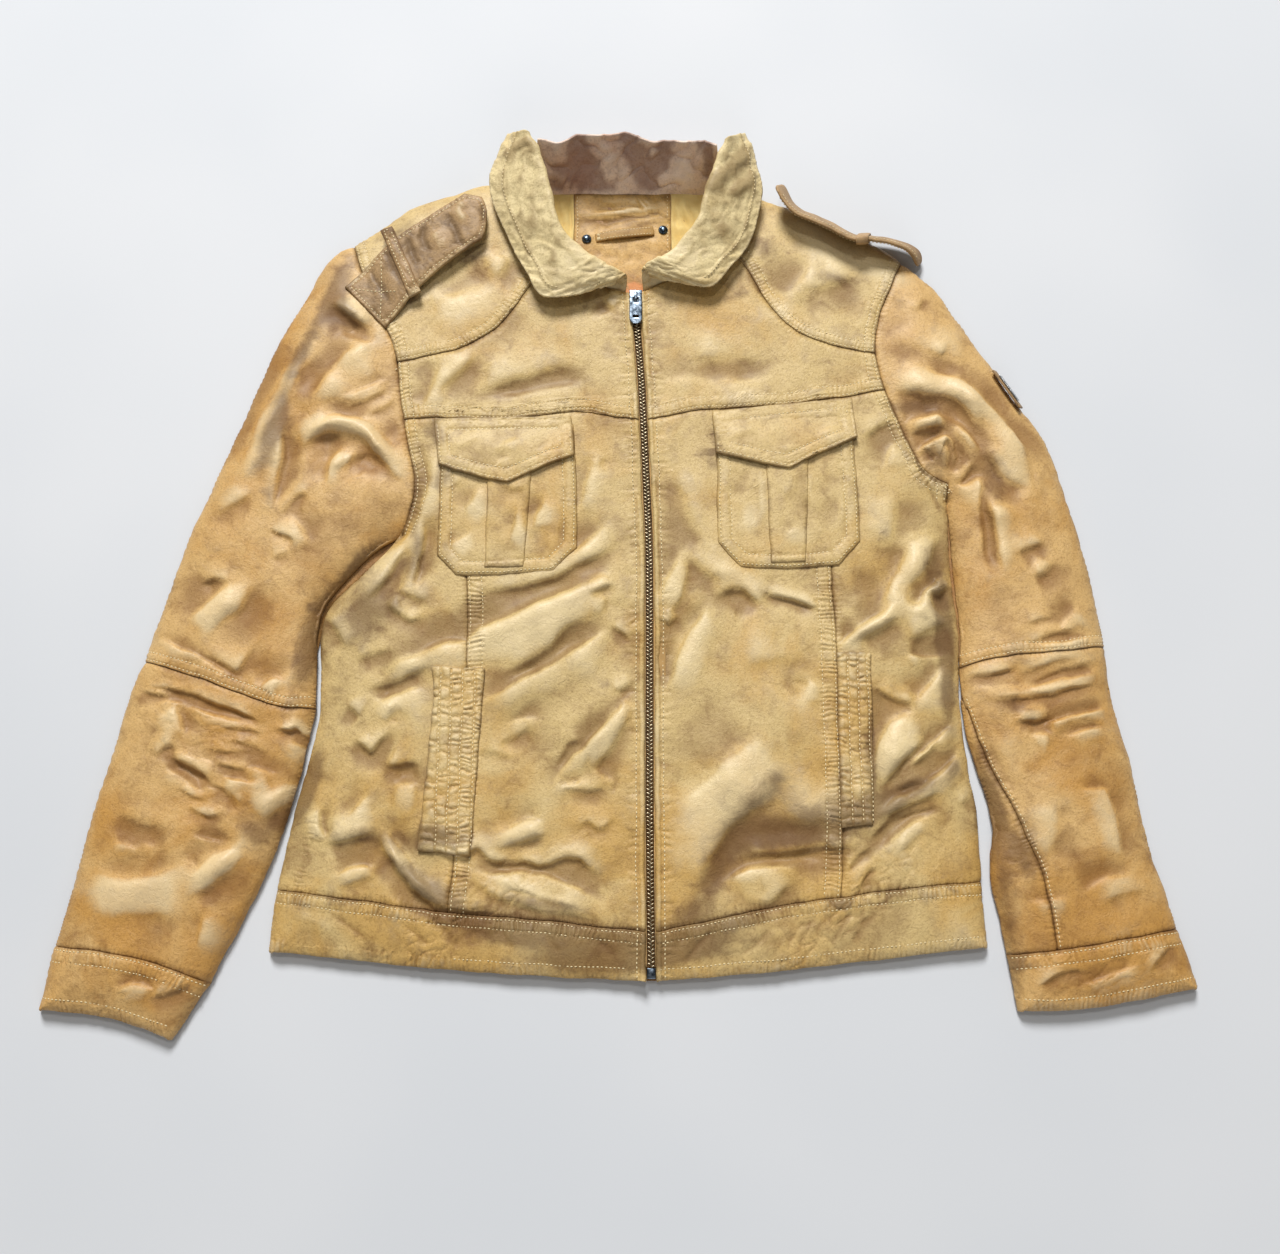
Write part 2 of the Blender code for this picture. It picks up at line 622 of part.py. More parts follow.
SLEEVE_L = Drape(
    SLEEVE_OUTLINE_L,
    [
        (SLEEVE_OUT_HIGH_L, RIM_TOP), (SLEEVE_OUT_LOW_L, RIM_TOP), (CUFF_OUT_L, RIM_TOP),
        (SLEEVE_IN_HIGH_L, RIM_TOP), (SLEEVE_IN_LOW_L, RIM_TOP), (CUFF_IN_L, RIM_TOP),
        (CUFF_EDGE_L, MOUTH_TOP),
    ],
    ARMHOLE_L,
    SLEEVE_CROWN,
)
SLEEVE_R = Drape(
    SLEEVE_OUTLINE_R,
    [
        (SLEEVE_OUT_HIGH_R, RIM_TOP), (SLEEVE_OUT_LOW_R, RIM_TOP), (CUFF_OUT_R, RIM_TOP),
        (SLEEVE_IN_HIGH_R, RIM_TOP), (SLEEVE_IN_MID_R, RIM_TOP), (SLEEVE_IN_LOW_R, RIM_TOP),
        (CUFF_IN_R, RIM_TOP), (CUFF_EDGE_R, MOUTH_TOP),
    ],
    ARMHOLE_R,
    SLEEVE_CROWN,
)


def make_back():
    """The layer that lies on the surface: back, its hem band, under sleeves and cuffs."""
    neck_edge = [(-88, NECK_EDGE_Y), (98, NECK_EDGE_Y)]
    pieces = {
        "back_panel": (
            back(neck_edge), SHOULDER_L, ARMHOLE_YOKE_L, ARMHOLE_CHEST_L, ARMHOLE_SIDE_L, SIDE_L,
            HEM_SEAM_OUT_L, HEM_SEAM_IN_L, HEM_SEAM_IN_R, HEM_SEAM_OUT_R, back(SIDE_R),
            back(ARMHOLE_SIDE_R), back(ARMHOLE_CHEST_R), back(ARMHOLE_YOKE_R), back(SHOULDER_R),
        ),
        "hem_band_back": (
            HEM_SEAM_OUT_L, HEM_SEAM_IN_L, HEM_SEAM_IN_R, HEM_SEAM_OUT_R, HEM_SIDE_R,
            back(HEM_EDGE_R), back(HEM_EDGE_L), back(HEM_SIDE_L),
        ),
        "sleeve_under_l": (
            ARMHOLE_YOKE_L, ARMHOLE_CHEST_L, ARMHOLE_SIDE_L, UNDERARM_L, SLEEVE_IN_LOW_L,
            back(CUFF_SEAM_L), back(SLEEVE_OUT_LOW_L), back(SLEEVE_OUT_HIGH_L),
        ),
        "sleeve_under_r": (
            ARMHOLE_YOKE_R, ARMHOLE_CHEST_R, ARMHOLE_SIDE_R, UNDERARM_R, SLEEVE_IN_MID_R,
            SLEEVE_IN_LOW_R, back(CUFF_SEAM_IN_R), back(CUFF_SEAM_OUT_R), back(SLEEVE_OUT_LOW_R),
            back(SLEEVE_OUT_HIGH_R),
        ),
        "cuff_back_l": (CUFF_SEAM_L, CUFF_IN_L, back(CUFF_EDGE_L), back(CUFF_OUT_L)),
        "cuff_back_r": (
            CUFF_SEAM_OUT_R, CUFF_SEAM_IN_R, CUFF_IN_R, back(CUFF_EDGE_R), back(CUFF_OUT_R)
        ),
    }
    for name, seams in pieces.items():
        flat(name, loop(*seams, step=FLAT_STEP), 0.0, BACK_WALL, ORANGE_TAN)


def make_fronts():
    """The panels between the zip, the side edges, the shoulders and the hem."""
    top, chest, hem, bottom = ZIP_TOP_Y, ZIP_CHEST_Y, ZIP_HEM_Y, ZIP_EDGE_Y
    pieces = {
        "shoulder_yoke_l": (
            loop(NECK_HIGH_L, SHOULDER_L, ARMHOLE_YOKE_L, back(YOKE_SEAM_L)), PALE_HONEY),
        "shoulder_yoke_r": (
            loop(NECK_HIGH_R, SHOULDER_R, ARMHOLE_YOKE_R, back(YOKE_SEAM_R)), PALE_HONEY),
        "chest_l": (
            loop(
                NECK_LOW_L, YOKE_SEAM_L, ARMHOLE_CHEST_L, CHEST_SEAM_OUT_L, CHEST_SEAM_IN_L,
                back(zip_edge(-ZIP_HALF, top, chest)),
            ), HONEY),
        "chest_r": (
            loop(
                NECK_LOW_R, YOKE_SEAM_R, ARMHOLE_CHEST_R, back(CHEST_SEAM_OUT_R),
                back(CHEST_SEAM_IN_R), back(zip_edge(ZIP_HALF, top, chest)),
            ), HONEY),
        "centre_front_l": (
            loop(CHEST_SEAM_IN_L, zip_edge(-ZIP_HALF, chest, hem), back(HEM_SEAM_IN_L),
                 back(PRINCESS_L)), HONEY),
        "centre_front_r": (
            loop(CHEST_SEAM_IN_R, PRINCESS_R, back(HEM_SEAM_IN_R),
                 back(zip_edge(ZIP_HALF, chest, hem))), HONEY),
        "side_front_l": (
            loop(CHEST_SEAM_OUT_L, PRINCESS_L, back(HEM_SEAM_OUT_L), back(SIDE_L),
                 back(ARMHOLE_SIDE_L)), ORANGE_TAN),
        "side_front_r": (
            loop(CHEST_SEAM_OUT_R, ARMHOLE_SIDE_R, SIDE_R, back(HEM_SEAM_OUT_R),
                 back(PRINCESS_R)), ORANGE_TAN),
        "hem_band_front_l": (
            loop(HEM_SEAM_OUT_L, HEM_SEAM_IN_L, zip_edge(-ZIP_HALF, hem, bottom),
                 back(HEM_EDGE_L), back(HEM_SIDE_L)), ORANGE_TAN),
        "hem_band_front_r": (
            loop(HEM_SEAM_IN_R, HEM_SEAM_OUT_R, HEM_SIDE_R, back(HEM_EDGE_R),
                 back(zip_edge(ZIP_HALF, hem, bottom))), ORANGE_TAN),
    }
    for name, (outline, colour) in pieces.items():
        draped(name, outline, BODY, 0.0, WALL, colour)


def make_sleeves():
    """The upper halves of the sleeves and cuffs."""
    pieces = {
        "upper_sleeve_l": (SLEEVE_L, ORANGE_TAN, loop(
            ARMHOLE_YOKE_L, ARMHOLE_CHEST_L, ARMHOLE_SIDE_L, SLEEVE_IN_HIGH_L, back(ELBOW_L),
            back(SLEEVE_OUT_HIGH_L))),
        "forearm_l": (SLEEVE_L, DEEP_TAN, loop(
            ELBOW_L, SLEEVE_IN_LOW_L, back(CUFF_SEAM_L), back(SLEEVE_OUT_LOW_L))),
        "cuff_front_l": (SLEEVE_L, DEEP_TAN, loop(
            CUFF_SEAM_L, CUFF_IN_L, back(CUFF_EDGE_L), back(CUFF_OUT_L))),
        "upper_sleeve_r": (SLEEVE_R, ORANGE_TAN, loop(
            ARMHOLE_YOKE_R, ARMHOLE_CHEST_R, ARMHOLE_SIDE_R, SLEEVE_IN_HIGH_R, back(ELBOW_R),
            back(SLEEVE_OUT_HIGH_R))),
        "forearm_r": (SLEEVE_R, DEEP_TAN, loop(
            ELBOW_R, SLEEVE_IN_MID_R, FOREARM_SEAM_R, back(CUFF_SEAM_OUT_R),
            back(SLEEVE_OUT_LOW_R))),
        "forearm_inner_r": (SLEEVE_R, DEEP_TAN, loop(
            SLEEVE_IN_LOW_R, back(CUFF_SEAM_IN_R), back(FOREARM_SEAM_R))),
        "cuff_front_r": (SLEEVE_R, DEEP_TAN, loop(
            CUFF_SEAM_OUT_R, CUFF_SEAM_IN_R, CUFF_IN_R, back(CUFF_EDGE_R), back(CUFF_OUT_R))),
    }
    for name, (drape, colour, outline) in pieces.items():
        draped(name, outline, drape, 0.0, WALL, colour)


def make_pockets():
    """Patch pockets with a box pleat and a flap, and the welts of the hand pockets."""
    on_panel = SEAM_GAP + WALL
    on_pocket = on_panel + SEAM_GAP + WALL
    on_pleat = on_pocket + SEAM_GAP + FLAP
    for side, pocket, pleat, flap, welt in (
        ("l", POCKET_L, PLEAT_L, FLAP_L, WELT_L),
        ("r", POCKET_R, PLEAT_R, FLAP_R, WELT_R),
    ):
        draped("chest_pocket_" + side, loop_of(pocket), BODY, on_panel, WALL, HONEY)
        draped("pocket_pleat_" + side, loop_of(pleat), BODY, on_pocket, WALL, HONEY)
        draped("pocket_flap_" + side, loop_of(flap), BODY, on_pleat, FLAP, HONEY)
        draped("welt_" + side, loop_of(welt), BODY, SEAM_GAP + FLAP, FLAP, ORANGE_TAN)


def loop_of(corners):
    """An outline of straight sides between the corners."""
    return loop(*[[a, b] for a, b in zip(corners, corners[1:] + corners[:1])])


def leaf_section(row):
    """From the seam up to the roll and down to the edge of the collar."""
    seam_x, seam_y, roll_x, roll_y, roll_z, edge_x, edge_y, edge_z = row
    seam_z = CROWN - WALL
    middle = (
        (roll_x + edge_x) / 2,
        (roll_y + edge_y) / 2,
        (roll_z + edge_z) / 2 + LEAF_BULGE,
    )
    route = [(seam_x, seam_y, seam_z), (roll_x, roll_y, roll_z), middle, (edge_x, edge_y, edge_z)]
    return evenly(route, LEAF_ACROSS)


def make_collar():
    lofted("collar_leaf_l", [leaf_section(row) for row in LEAF_L], WALL, PALE_HONEY)
    lofted("collar_leaf_r", [leaf_section(row) for row in LEAF_R], WALL, PALE_HONEY)
    sections = []
    for foot_x, foot_y, top_x, top_y, top_z in COLLAR_BACK:
        foot = Vector((foot_x, foot_y, COLLAR_BACK_FOOT))
        top = Vector((top_x, top_y, top_z))
        steps = [k / (COLLAR_BACK_UP - 1) for k in range(COLLAR_BACK_UP)]
        sections.append([foot.lerp(top, t) for t in steps])
    lofted("collar_back", sections, WALL, DARK_SKIN)


def make_neck():
    """The inside of the back neck, with the loop to hang the jacket by."""
    base = BACK_WALL + SEAM_GAP
    flat("neck_facing", loop_of(FACING), base, FACING_WALL, FACING_TAN)
    flat("lining_l", loop_of(LINING_L), base, FACING_WALL, GOLD_LINING)
    flat("lining_r", loop_of(LINING_R), base, FACING_WALL, GOLD_LINING)
    top = base + FACING_WALL
    sections = []
    for (x, y), rise in zip(HANGER_LINE, HANGER_RISE):
        z = top + SEAM_GAP + rise + HANGER_WALL / 2
        sections.append([(x, y - HANGER_WIDTH / 2, z), (x, y + HANGER_WIDTH / 2, z)])
    lofted("hanger_loop", sections, HANGER_WALL, FACING_TAN)
    for name, (x, y) in HANGER_STUDS.items():
        bm = bmesh.new()
        place = Matrix.Translation((x, y, top + SEAM_GAP + STUD_HEIGHT / 2))
        bmesh.ops.create_cone(
            bm, cap_ends=True, segments=20, radius1=STUD_RADIUS, radius2=STUD_RADIUS * 0.8,
            depth=STUD_HEIGHT, matrix=place,
        )
        add_object(name, bm, DARK_STEEL, roughness=0.35, metallic=1.0)


def make_epaulettes():
    """The left strap lies on the shoulder; the right one stands on its edge behind it."""
    shoulder = Overlay(BODY, SLEEVE_L)
    lift = EPAULETTE_LIFT + EPAULETTE
    draped("epaulette_l", loop_of(EPAULETTE_L), shoulder, lift, EPAULETTE, OLIVE_TAN)
    clip_lift = lift + SEAM_GAP + WALL
    draped("epaulette_clip_l", loop_of(CLIP_L), shoulder, clip_lift, WALL, OLIVE_TAN)
    sections = []
    for x0, y0, z0, x1, y1, z1 in EPAULETTE_R:
        upper, lower = Vector((x0, y0, z0)), Vector((x1, y1, z1))
        sections.append([upper, upper.lerp(lower, 0.5), lower])
    lofted("epaulette_r", sections, EPAULETTE, OLIVE_TAN)
    make_standing_clip(sections[3:5])


def make_standing_clip(stretch):
    """The loop round the standing strap: over its upper edge and down both faces."""
    sections = []
    for (upper, _, lower), share in zip(stretch, (0.15, 0.85)):
        along = (stretch[1][0] - stretch[0][0]).normalized()
        down = (lower - upper).normalized()
        out = down.cross(along).normalized() * (EPAULETTE / 2 + WALL / 2 + 2 * SEAM_GAP)
        crest = upper - down * (WALL / 2 + 2 * SEAM_GAP)
        shift = (stretch[1][0] - stretch[0][0]) * (share if share < 0.5 else share - 1)
        reach = down * CLIP_R_REACH
        row = [upper + reach - out, crest - out, crest + out, upper + reach + out]
        sections.append([place + shift for place in row])
    lofted("epaulette_clip_r", sections, WALL, OLIVE_TAN)


def make_zip():
    """Teeth as one bar, the tape on both sides, slider, pull tab and the stop at the hem."""
    top, bottom = SLIDER_TOP_Y - SLIDER_LENGTH - SEAM_GAP, CHAIN_BOTTOM_Y
    chain = loop(
        zip_edge(-CHAIN_HALF, top, bottom), back(zip_edge(CHAIN_HALF, top, bottom))
    )
    draped("zip_chain", chain, BODY, -CHAIN_SINK, CHAIN_THICK, OLD_BRASS, metallic=1.0)
    for side, name in ((-1, "zip_tape_l"), (1, "zip_tape_r")):
        inner, outer = side * (CHAIN_HALF + SEAM_GAP), side * (CHAIN_HALF + TAPE_WIDTH)
        tape = loop(zip_edge(inner, top, bottom), back(zip_edge(outer, top, bottom)))
        draped(name, tape, BODY, -WALL - SEAM_GAP, TAPE_THICK, TAPE_KHAKI, roughness=0.8)


def make_slider():
    """The slider at the top of the closed zip, its pull tab and the stop at the hem."""
    axis_y = SLIDER_TOP_Y - TAB_AXIS_BACK
    middle_y = SLIDER_TOP_Y - SLIDER_LENGTH / 2
    x = zip_x(middle_y)
    leather = BODY.height(x, middle_y)
    plate_z = leather + SLIDER_PLATE_RISE
    slider = add_box(
        "zip_slider",
        (2 * SLIDER_PLATE_HALF, SLIDER_LENGTH, SLIDER_PLATE_THICK),
        Matrix.Translation((x, middle_y, plate_z + SLIDER_PLATE_THICK / 2)),
        SLIDER_BEVEL, BLUE_STEEL, **STEEL_FINISH,
    )
    core_z = plate_z + SLIDER_PLATE_THICK / 2 - SLIDER_CORE_THICK / 2
    core = add_box(
        "slider_core",
        (2 * SLIDER_CORE_HALF, SLIDER_LENGTH - 1.0, SLIDER_CORE_THICK),
        Matrix.Translation((x, middle_y, core_z)),
        0.0, BLUE_STEEL, **STEEL_FINISH,
    )
    top_z = plate_z + SLIDER_PLATE_THICK
    bridge = add_profile(
        "slider_bridge", BRIDGE_OUTER + BRIDGE_INNER, 2 * BRIDGE_HALF_WIDTH,
        Matrix.Translation((x, axis_y, top_z)), BLUE_STEEL, **STEEL_FINISH,
    )
    boolean(slider, core, "UNION")
    boolean(slider, bridge, "UNION")
    make_pull_tab(Vector((x, axis_y, top_z + TAB_AXIS_RISE)))
    stop_z = BODY.height(zip_x(STOP_Y), STOP_Y) - STOP_SINK - STOP_SIZE[2] / 2
    place = Matrix.Translation((zip_x(STOP_Y), STOP_Y, stop_z))
    add_box("zip_stop", STOP_SIZE, place, STOP_BEVEL, BLUE_STEEL, **STEEL_FINISH)


def make_pull_tab(axis):
    """A flat tab whose upper bar lies on the joint's axis; its origin is on the axis."""
    width, length, thick = TAB_SIZE
    place = Matrix.Translation((0, TAB_BAR - length / 2, 0))
    tab = add_box("zip_pull_tab", TAB_SIZE, place, TAB_BEVEL, BLUE_STEEL, **STEEL_FINISH)
    eye_y = -TAB_BAR - TAB_EYE[1] / 2
    for name, size, y in (("tab_eye", TAB_EYE, eye_y), ("tab_slot", TAB_SLOT, -TAB_SLOT_BACK)):
        cut = add_box(name, (*size, 3 * thick), Matrix.Translation((0, y, 0)), 0.0, BLUE_STEEL)
        boolean(tab, cut, "DIFFERENCE")
        cut.parent = tab
        cut.location = (0.0, 0.0, 0.0)
    tab.location = (axis + FRAME) * MM


def make_badge():
    """A bare leather badge with a plain plate."""
    turn = Matrix.Rotation(math.radians(BADGE_TURN), 4, "Z")
    tilt = Matrix.Rotation(math.radians(-BADGE_TILT), 4, "X")
    place = Matrix.Translation(BADGE_CENTRE) @ turn @ tilt
    add_box("badge", BADGE_SIZE, place, 0.0, OLIVE_TAN)
    rise = BADGE_SIZE[2] / 2 + SEAM_GAP + PLATE_SIZE[2] / 2
    plate = place @ Matrix.Translation((0, 0, rise))
    add_box("badge_plate", PLATE_SIZE, plate, PLATE_BEVEL, PALE_STEEL, roughness=0.3, metallic=1.0)


clear_scene()
make_back()
make_fronts()
make_sleeves()
make_pockets()
make_collar()
make_neck()
make_epaulettes()
make_zip()
make_slider()
make_badge()
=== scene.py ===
"""A worn honey-tan leather jacket that lies flat on its back, zipped, with its collar open.

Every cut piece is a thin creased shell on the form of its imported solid. Lengths in the tables
are millimetres from the point on the front that the solids are measured from; CENTRE moves
that point so that the origin is in the middle of the bounds.
"""

import math

import bmesh
import bpy
import numpy as np
from mathutils import Matrix, Vector, kdtree


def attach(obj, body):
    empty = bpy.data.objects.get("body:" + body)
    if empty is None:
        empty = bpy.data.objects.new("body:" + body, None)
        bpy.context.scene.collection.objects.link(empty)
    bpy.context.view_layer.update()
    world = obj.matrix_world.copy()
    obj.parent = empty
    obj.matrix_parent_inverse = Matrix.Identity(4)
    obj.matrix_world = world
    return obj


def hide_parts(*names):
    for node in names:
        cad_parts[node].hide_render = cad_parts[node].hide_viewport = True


MM = 0.001
CENTRE = Vector((0.5, -5.5, 0.0))

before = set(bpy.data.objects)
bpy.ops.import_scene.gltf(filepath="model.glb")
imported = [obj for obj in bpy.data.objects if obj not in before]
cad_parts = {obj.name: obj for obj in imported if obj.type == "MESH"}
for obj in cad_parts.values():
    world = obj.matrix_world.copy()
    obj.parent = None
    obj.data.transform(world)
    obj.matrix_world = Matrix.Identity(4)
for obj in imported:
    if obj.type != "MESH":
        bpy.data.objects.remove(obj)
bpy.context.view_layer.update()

# ---------------------------------------------------------------- sizes of the drape
BODY_CROWN = 15.0
SLEEVE_CROWN = 19.0
RIM_TOP = 4.7
MOUTH_TOP = 7.5
RIM_RADIUS = 46.0
SHELL = 1.4
ROLL = [(0.8, -1.1), (0.5, -1.6), (-0.5, -1.3)]  # out and down, from the rim to the surface
ARMHOLE_REACH = 34.0  # how far from the armhole a sleeve has risen to its own crown
CALM_REACH = 14.0  # how far in from a rim the creases are at their full depth
SLOPE_GAIN = 1.35
SLOPE_REACH = 5.0  # how far a slope levels out beside its line, in half widths
FOLD_SHARE = 0.55
# Closeness of the meshes: the longest edges step by step, in the gathers and where the form bends
COARSE_EDGES = (18.0, 9.0, 5.4)
GATHERED_EDGE = 2.4
FINE_REACH = 9.5  # how far from a seam the gathers are
BENT_EDGES = (2.6, 1.3)
BEND = 0.13  # how far the form may stand off an edge that stays whole
CORNER = math.radians(38)  # an outline that turns more than this has a corner
# Seams and threads
SEAM_REACH = 1.2  # outlines nearer than this are sewn together
SEAM_BAND = 0.6
SEAM_GROOVE = 0.75
GATHER = 3.9  # from one pucker to the next beside a seam
STITCH_PITCH = 3.6
STITCH_LENGTH = 2.5
STITCH_WIDTH = 1.15
ROW_STEP = 1.2  # between the places where a stitch row is measured
THREAD_LIFT = 0.1
ZIP_STITCHES = 11.2  # from the middle of the zip
ZIP_OPENING = 5.0

# Folds: height, soft half width on the left and right of the line, then x and y along the line
FOLDS = {
    "body": [
        (5, 20, 20, -174, 52, -246, -42), (-3, 16, 16, -166, 45, -178, -20), (4, 22, 22, -204, -87, -130, -67),
        (-3, 16, 16, -206, -109, -153, -92), (-4, 20, 20, -200, -220, -140, -285),
        (3, 18, 18, -236, -232, -203, -220), (-3, 18, 18, -118, -23, -41, -5), (5, 22, 22, -114, -62, 2, -12),
        (5, 22, 22, -118, -122, -10, -66), (-3, 18, 18, -103, -155, -73, -139), (4, 20, 20, -46, -162, 8, -111),
        (-4, 18, 18, -116, -250, -34, -250), (-3, 16, 16, -34, -250, 0, -275), (-3, 22, 22, 84, -29, 170, -36),
        (5, 32, 32, 62, -194, 157, -110), (-5, 26, 26, 136, -176, 72, -246), (3, 18, 18, 104, -255, 147, -243),
        (4, 22, 22, 190, -68, 280, -5), (-3, 18, 18, 255, -92, 218, -120), (3, 20, 20, 230, -196, 286, -156),
    ],
    "sleeve_l": [
        (4, 20, 20, -283, 139, -250, 178), (-4, 18, 18, -278, 106, -195, 90), (-3, 20, 20, -290, 125, -300, 50),
        (3, 30, 30, -345, 120, -372, 0), (-3, 16, 16, -395, -110, -265, -150),
        (3, 28, 28, -350, -200, -380, -290),
    ],
    "sleeve_r": [
        (5, 22, 22, 280, 160, 356, 72), (4, 18, 18, 246, 127, 290, 122), (4, 18, 18, 314, 78, 312, 28),
        (-4, 16, 16, 316, 92, 352, 66), (-3, 16, 16, 300, -100, 395, -94), (3, 30, 30, 350, -160, 390, -270),
    ],
}
